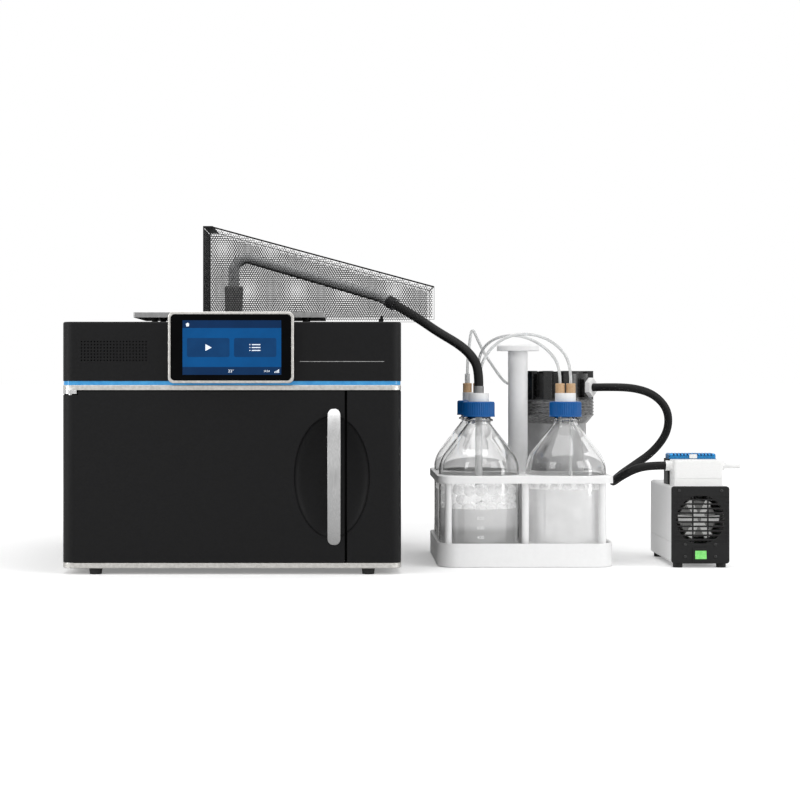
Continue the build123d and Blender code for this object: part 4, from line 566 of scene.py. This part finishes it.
kink = g["left"] + g["flat"]
low, rightTop = g["foot"], g["foot"] + g["rightHeight"]
down = Vector((0, 1, 0)).cross(slope).normalized()
for y, inward in ((g["front"], 1), (back, -1)):
    strip((g["left"], y, low), (right, y, low), (0, 0, 1), g["rim"] / 2, -1.1 * inward)
    strip((g["left"], y, low), (g["left"], y, top), (1, 0, 0), g["leftRim"], 1.1 * inward)
    strip((right, y, low), (right, y, rightTop), (-1, 0, 0), g["rim"] / 2, -1.1 * inward)
    strip((g["left"], y, top), (kink, y, top), (0, 0, -1), g["topRim"][inward], 1.1 * inward)
    strip((kink, y, top), (right, y, rightTop), down, g["topRim"][inward], 0.8 * inward)
    strip((kink, y, top), (right, y, rightTop), (0, inward, 0), g["rim"], -1.1 * inward)
strip((g["left"], g["front"], low), (g["left"], back, low), (0, 0, 1), g["rim"], 1.1)
strip((g["left"], g["front"], top), (g["left"], back, top), (1, 0, 0), g["flat"] + 3, 1.1)
strip((right, g["front"], rightTop), (right, back, rightTop), (0, 0, -1), g["rim"], 1.1)
for y in (g["front"] + 1.2, back - 1.2):
    for x in (g["left"] + 26, -13.5 - 26):
        strip((x - 2.5, y, 405), (x - 2.5, y, 422), (1, 0, 0), 5, 1.2 if y < 0 else -1.2)
bmesh.ops.recalc_face_normals(edges, faces=edges.faces)
edgeMesh = bpy.data.meshes.new("guardFoldedEdges")
edges.to_mesh(edgeMesh)
edges.free()
addPiece("guardFoldedEdges", edgeMesh, "powderCoatGuard")
print("guard punched:", len(sheetFaces), "faces")

# Upper casing with the drilled sound holes
grille = {"left": -525.5, "right": -422.3, "low": 343.0, "high": 373.0, "columns": 21, "rows": 7, "radius": 1.2}
drills = bmesh.new()
for row in range(grille["rows"]):
    for column in range(grille["columns"]):
        x = grille["left"] + (grille["right"] - grille["left"]) * column / (grille["columns"] - 1)
        z = grille["low"] + (grille["high"] - grille["low"]) * row / (grille["rows"] - 1)
        ring = []
        for y in (-275, -265):
            ring.append([drills.verts.new((Vector((x + grille["radius"] * math.cos(i * math.pi / 4), y,
                                                   z + grille["radius"] * math.sin(i * math.pi / 4)))) * mm)
                         for i in range(8)])
        drills.faces.new(ring[0])
        drills.faces.new(ring[1][::-1])
        for i in range(8):
            drills.faces.new((ring[0][i], ring[1][i], ring[1][(i + 1) % 8], ring[0][(i + 1) % 8]))
bmesh.ops.recalc_face_normals(drills, faces=drills.faces)
drillMesh = bpy.data.meshes.new("drills")
drills.to_mesh(drillMesh)
drills.free()
cutter = bpy.data.objects.new("drills", drillMesh)
bpy.context.scene.collection.objects.link(cutter)
casing = bpy.data.objects.new("upperCasing", nodes["upper_case"].data.copy())
bpy.context.scene.collection.objects.link(casing)
cut = casing.modifiers.new("drill", "BOOLEAN")
cut.object = cutter
cut.solver = "EXACT"
bpy.context.view_layer.update()
casingMesh = bpy.data.meshes.new_from_object(casing.evaluated_get(bpy.context.evaluated_depsgraph_get()))
bpy.data.objects.remove(casing)
bpy.data.objects.remove(cutter)
upperCasing = addPiece("upperCasing", casingMesh, "powderCoatBlack", sharp=30)
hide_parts("upper_case")
print("sound holes drilled:", grille["rows"] * grille["columns"])

# Touch screen: the lit picture lies on the glass as thin printed layers
screen = {"face": -288.72, "left": -362.4, "right": -205.4, "low": 319.9, "high": 406.6, "header": 394.3,
          "footer": 332.3, "buttonLow": 348.2, "buttonHigh": 378.4, "buttons": ((-355.3, -287.7), (-280.5, -213.2))}
screenLooks = {
    # the lit picture behind toughened glass: even blue light under a hard clear skin
    "litScreenBody": {"hexes": ("#0a4274", "#0c4a80"), "grainMm": 70.0, "rough": (0.05, 0.08), "specular": 0.05,
                       "glow": 0.3},
    "litScreenHeader": {"hexes": ("#0d2748", "#0f2b50"), "grainMm": 60.0, "rough": (0.05, 0.08), "specular": 0.05,
                       "glow": 0.3},
    "litScreenFooter": {"hexes": ("#0d2748", "#102c4e"), "grainMm": 60.0, "rough": (0.05, 0.08), "specular": 0.05,
                       "glow": 0.3},
    "litScreenButton": {"hexes": ("#0f3259", "#123a64"), "grainMm": 40.0, "rough": (0.05, 0.08), "specular": 0.05,
                       "glow": 0.3},
    "litScreenSign": {"hexes": ("#dbe6f2", "#eef4fa"), "grainMm": 20.0, "rough": (0.05, 0.08), "glow": 0.25},
}
for name, look in screenLooks.items():
    paint[name] = finish(name, look)


def onScreen(name, outline, x, z, layer, material):
    # layer 1 lies on the glass, each further one 0.05 mm nearer
    return slab(name, outline, (x, screen["face"] - 0.05 * (layer - 1), z), (1, 0, 0), (0, 0, 1), 0.05, material)


s = screen
midX, midZ = (s["left"] + s["right"]) / 2, (s["low"] + s["high"]) / 2
onScreen("screenBody", roundedRect(s["right"] - s["left"], s["high"] - s["low"], 0.8), midX, midZ, 1, "litScreenBody")
onScreen("screenHeader", roundedRect(s["right"] - s["left"], s["high"] - s["header"], 0.5), midX,
         (s["high"] + s["header"]) / 2, 2, "litScreenHeader")
onScreen("screenFooter", roundedRect(s["right"] - s["left"], s["footer"] - s["low"], 0.5), midX,
         (s["low"] + s["footer"]) / 2, 2, "litScreenFooter")
for index, (a, b) in enumerate(s["buttons"]):
    middle = (s["buttonLow"] + s["buttonHigh"]) / 2
    onScreen(f"screenButton{index + 1}", roundedRect(b - a, s["buttonHigh"] - s["buttonLow"], 3.2), (a + b) / 2,
             middle, 2, "litScreenButton")
buttonZ = (s["buttonLow"] + s["buttonHigh"]) / 2
startX, listX = (sum(pair) / 2 for pair in s["buttons"])
onScreen("screenStartSign", [(-4.5, -5.5), (5.5, 0), (-4.5, 5.5)], startX, buttonZ, 3, "litScreenSign")
for row in (-1, 0, 1):
    onScreen(f"screenListBar{row + 2}", roundedRect(14, 1.5, 0.7), listX + 1.5, buttonZ + 4.6 * row, 3, "litScreenSign")
    onScreen(f"screenListDot{row + 2}", roundedRect(1.6, 1.6, 0.7), listX - 8.4, buttonZ + 4.6 * row, 3, "litScreenSign")
headerZ = (s["high"] + s["header"]) / 2
onScreen("screenHomeRoof", [(-3.2, 0), (3.2, 0), (0, 2.9)], s["left"] + 8, headerZ - 0.3, 3, "litScreenSign")
onScreen("screenHomeWall", [(-2.1, -3.1), (2.1, -3.1), (2.1, 0), (-2.1, 0)], s["left"] + 8, headerZ - 0.3, 3,
         "litScreenSign")
for index in range(4):
    onScreen(f"screenSignal{index + 1}", [(0, 0), (1.3, 0), (1.3, 1.6 + 1.3 * index), (0, 1.6 + 1.3 * index)],
             s["right"] - 11 + 2.1 * index, s["low"] + 3.2, 3, "litScreenSign")


def figures(name, words, size, x, y, z, material, wrap=None, align="LEFT", thick=0.05):
    # plain numerals as thin raised shapes, flat or wrapped round a bottle of the radius given
    data = bpy.data.curves.new(name, "FONT")
    data.body = words
    data.size = size
    data.align_x = align
    data.extrude = thick / 2
    data.resolution_u = 3
    shown = bpy.data.objects.new(name, data)
    bpy.context.scene.collection.objects.link(shown)
    bpy.context.view_layer.update()
    mesh = bpy.data.meshes.new_from_object(shown.evaluated_get(bpy.context.evaluated_depsgraph_get()))
    bpy.data.objects.remove(shown)
    for vertex in mesh.vertices:
        u, v, w = vertex.co
        if wrap:
            axisX, axisY, radius = wrap
            turn = (x - axisX + u) / radius
            reach = radius + thick / 2 + w
            vertex.co = Vector((axisX + reach * math.sin(turn), axisY - reach * math.cos(turn), z + v)) * mm
        else:
            vertex.co = Vector((x + u, y - w, z + v)) * mm
    return addPiece(name, mesh, material)


figures("screenDegrees", "23°", 6.5, midX - 6, s["face"] - 0.13, s["low"] + 3.8, "litScreenSign")
figures("screenClock", "10:24", 4.4, s["right"] - 28, s["face"] - 0.13, s["low"] + 4.4, "litScreenSign")
# printed rule on the casing, right of the screen: a fine line of silver ink
paint["screenPrintedInk"] = finish("screenPrintedInk", {"hexes": ("#8d8d8d", "#b5b5b5"), "grainMm": 6.0,
                                                        "rough": (0.4, 0.55)})
slab("printedRule", roundedRect(135.0, 0.8, 0.3), (-108.7, -271.0, 341.2), (1, 0, 0), (0, 0, 1), 0.06,
     "screenPrintedInk")
print("screen drawn")

# Bottles: blown walls, liquids, floating balls, ribbed caps and printed scale
bottle = {"foot": 12.0, "radius": 68.0, "wall": 2.6, "heel": 14.0, "body": 146.0, "shoulder": 226.0, "neck": 20.0,
          "bore": 16.0, "pourRing": 24.3, "rim": 258.5}
bottles = {
    "front_left": {"at": (123.5, -97.0), "level": 95.0, "liquid": "absorberGrey", "balls": (127.0, 112.0, 98.0)},
    "front_right": {"at": (270.5, -97.0), "level": 127.0, "liquid": "absorberPale", "balls": (132.5,)},
    "back_left": {"at": (123.5, 50.0), "level": 118.0, "liquid": "absorberGrey", "balls": (124.0,)},
}
liquids = {
    # water with dissolved salts: slightly clouded, darker towards the bottom from 72 mm down to 56 mm, and lifted by a
    # painted glow that stands in for the lamp light the glass keeps from it
    "absorberGrey": {"hexes": ("#d6d6d6", "#dedede"), "grainMm": 30.0, "rough": (0.12, 0.22), "ior": 1.33,
                     "clear": 0.15, "glow": 0.2, "zone": (56, 72, "#b4b4b4")},
    # the paler liquid, also lifted by a painted glow that stands in for the lamp light the glass keeps from it
    "absorberPale": {"hexes": ("#e6e6e6", "#ececec"), "grainMm": 40.0, "rough": (0.12, 0.22), "ior": 1.33,
                     "clear": 0.15, "glow": 0.24},
    # hollow polypropylene balls: milky white and half see-through, with a painted glow standing in for the lamp light
    # the glass keeps from them
    "hollowBall": {"hexes": ("#ececec", "#f6f6f6"), "grainMm": 9.0, "rough": (0.2, 0.35), "clear": 0.15,
                   "glow": 0.22},
    # ceramic ink fired on glass: opaque white, slightly raised
    "firedInkWhite": {"hexes": ("#f2f2f2", "#ffffff"), "grainMm": 3.0, "rough": (0.4, 0.5)},
}
for name, look in liquids.items():
    paint[name] = finish(name, look)
b = bottle
f = b["foot"]
# the shoulder: a rounding, a straight cone and a hollow under the pour ring
bendEnd, bendMiddle = (57.2, f + 177.6), (65.2, f + 162.7)
coneEnd, hollowMiddle, hollowEnd = (22.5, f + 222.3), (20.65, f + 225.8), (20.0, f + 229.0)
outer = [(0, f + 1.6), (b["radius"] - b["heel"] - 8, f + 1.2), (b["radius"] - b["heel"] - 2, f)]
outer += arc((b["radius"] - b["heel"], f), (b["radius"] - b["heel"] * 0.293, f + b["heel"] * 0.293),
             (b["radius"], f + b["heel"]), 8)
outer += [(b["radius"], f + 60), (b["radius"], f + b["body"] - 4)]
outer += arc((b["radius"], f + b["body"]), bendMiddle, bendEnd, 12) + [(40, f + 200.1), coneEnd]
outer += arc(coneEnd, hollowMiddle, hollowEnd, 5)
outer += [(b["pourRing"] - 1, f + b["shoulder"] + 3.4),
          (b["pourRing"], f + b["shoulder"] + 4.6), (b["pourRing"], f + b["shoulder"] + 6),
          (b["pourRing"] - 1.2, f + b["shoulder"] + 7.2), (b["neck"], f + b["shoulder"] + 8.4)]
for turn in range(3):
    z = f + b["shoulder"] + 13 + 6 * turn
    outer += [(b["neck"], z), (b["neck"] + 1.4, z + 1.4), (b["neck"], z + 2.8)]
outer += [(b["neck"], f + b["rim"] - 1), (b["neck"] - 1, f + b["rim"]), (b["bore"] + 1, f + b["rim"]),
          (b["bore"], f + b["rim"] - 1), (b["bore"], f + b["shoulder"] + 0.4), (36, f + 200.4)]
innerRadius = b["radius"] - b["wall"]
outer += [(55.1, f + 176.0)] + arc((55.1, f + 176.0), (62.8, f + 161.8), (innerRadius, f + b["body"]), 12)
outer += [(innerRadius, f + 60)]
outer += arc((innerRadius, f + b["heel"]), (innerRadius - 3.4, f + b["wall"] + 3.6),
             (innerRadius - b["heel"] + b["wall"], f + b["wall"]), 7)
outer += [(30, f + b["wall"] * 1.5), (0, f + b["wall"] * 1.8)]

rng = random.Random(11)
ballRadius = 9.4
for name, one in bottles.items():
    x, y = one["at"]
    glass = turned("glass_" + name, outer, (x, y), "borosilicateGlass", steps=112, sharp=50)
    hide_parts("bottle_" + name)
    fill = innerRadius - 0.25
    low = f + b["wall"] + 0.4
    liquid = [(0, low + 1.8), (fill - b["heel"] + 2.6, low)]
    liquid += arc((fill - b["heel"] + 2.6, low), (fill - 3.3, low + 3.4), (fill, low + b["heel"] - 2.6), 7)
    liquid += [(fill, one["level"] - 2), (fill, one["level"] + 1.4), (fill - 1.2, one["level"] + 0.3),
               (fill - 3, one["level"]), (0, one["level"])]
    turned("liquid_" + name, liquid, (x, y), one["liquid"], sharp=60)
    balls = bmesh.new()
    for layer, height in enumerate(one["balls"]):
        for ringRadius in (54.6, 35.0, 16.5):
            around = int(math.pi * ringRadius / (ballRadius + 0.25))
            first = rng.random() * 6.28
            for index in range(around):
                if layer and rng.random() < 0.25:
                    continue
                angle = first + 2 * math.pi * (index + 0.12 * rng.random()) / around
                spot = Vector((x + ringRadius * math.cos(angle), y + ringRadius * math.sin(angle),
                               height + 2.4 * rng.random() - 1.2))
                made = bmesh.ops.create_icosphere(balls, subdivisions=3, radius=ballRadius * mm)
                bmesh.ops.translate(balls, verts=made["verts"], vec=spot * mm)
    ballMesh = bpy.data.meshes.new("balls_" + name)
    balls.to_mesh(ballMesh)
    balls.free()
    addPiece("balls_" + name, ballMesh, "hollowBall")

    # cap: a lip at the skirt, long ribs and a rounded top, open in the middle for the insert
    capTop, capFoot = 274.7, 249.1
    cap = [(23.4, capFoot + 22), (23.4, capFoot), (27.4, capFoot), (27.6, capFoot + 0.6), (27.6, capFoot + 1.8),
           (27.0, capFoot + 2.4, 0), (27.0, capFoot + 3.0, 1), (27.0, capTop - 3.0, 1), (26.6, capTop - 1.6, 0.5),
           (25.8, capTop - 0.5), (24.6, capTop), (17.8, capTop), (17.8, capFoot + 22), (23.4, capFoot + 22)]
    capPiece = turned("ribbedCap_" + name, cap, (x, y), "mouldedCapBlue", name + "_cap", steps=264,
                      ribs=44, ribDepth=1.1, sharp=50)
    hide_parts("cap_" + name)

scale = [(50.4, "400"), (66.3, "600"), (82.1, "800"), (98.0, "1000"), (114.0, "1200"), (130.0, "1400")]
x, y = bottles["front_left"]["at"]
for z, words in scale:
    figures("scale_" + words, words, 8.2, 127.5, 0, z - 3, "firedInkWhite", wrap=(x, y, 68.1),
            align="RIGHT", thick=0.08)
print("bottles blown and filled")

# small things: screws of the pump's front
screws = {"radius": 3.0, "dome": 1.6, "spots": [
    (450.3, 127.6), (520.7, 127.6), (460.2, 38.3), (510.8, 38.3), (460.2, 18.4), (510.8, 18.4)]}
heads = bmesh.new()
for x, z in screws["spots"]:
    rings = []
    for radius, lift in ((3.0, 0.0), (3.0, 0.5), (2.6, 1.1), (1.7, 1.5), (0.9, 1.55), (0.7, 0.9)):
        rings.append([heads.verts.new(Vector((x + radius * math.cos(i * math.pi / 8), -167.0 - lift,
                                              z + radius * math.sin(i * math.pi / 8))) * mm) for i in range(16)])
    for low, high in zip(rings, rings[1:]):
        for i in range(16):
            heads.faces.new((low[i], low[(i + 1) % 16], high[(i + 1) % 16], high[i]))
    heads.faces.new(rings[-1])
bmesh.ops.recalc_face_normals(heads, faces=heads.faces)
headMesh = bpy.data.meshes.new("pumpScrews")
heads.to_mesh(headMesh)
heads.free()
addPiece("pumpScrews", headMesh, "mouldedNylonBlack")
print("screws set")

# ridged collar of the filter bowl, over the lock ring and down to the bowl in a taper
collar = {"at": (270.5, 50.0), "low": 249.0, "high": 276.6, "radius": 68.0, "ridges": 5, "dip": 1.4}
profile = [(56.2, 235.0), (collar["radius"] - 3, collar["low"] - 3.5), (collar["radius"], collar["low"])]
ridgeStep = (collar["high"] - collar["low"]) / collar["ridges"]
for ridge in range(collar["ridges"]):
    z = collar["low"] + ridge * ridgeStep
    profile += [(collar["radius"], z + 0.35 * ridgeStep), (collar["radius"] - collar["dip"], z + 0.5 * ridgeStep),
                (collar["radius"] - collar["dip"], z + 0.7 * ridgeStep), (collar["radius"], z + 0.85 * ridgeStep)]
profile += [(collar["radius"], collar["high"]), (66.3, collar["high"]), (66.3, 251.0), (56.2, 240.0), (56.2, 235.0)]
turned("bowlCollar", profile, collar["at"], "smokeRidgedCollar", steps=96)

# clear sleeve over one nut's tube and a white tab in the clamp's middle
sleeve = {"at": (114.4, 50.0), "low": 305.6, "high": 322.0, "radius": 4.5, "bore": 2.7}
turned("nutSleeve", [(sleeve["bore"], sleeve["low"]), (sleeve["radius"], sleeve["low"]),
                     (sleeve["radius"], sleeve["high"]), (sleeve["bore"], sleeve["high"]),
                     (sleeve["bore"], sleeve["low"])], sleeve["at"], "extrudedClearTube", steps=40)
clampTab = {"middle": (484.0, -113.4, 182.6), "width": 13.0, "height": 7.0}
slab("clampTab", roundedRect(clampTab["width"], clampTab["height"], 1.5), clampTab["middle"], (1, 0, 0), (0, 0, 1), 0.8,
     "turnedFluoropolymer")
print("sleeve and tab added")

print("scene done")
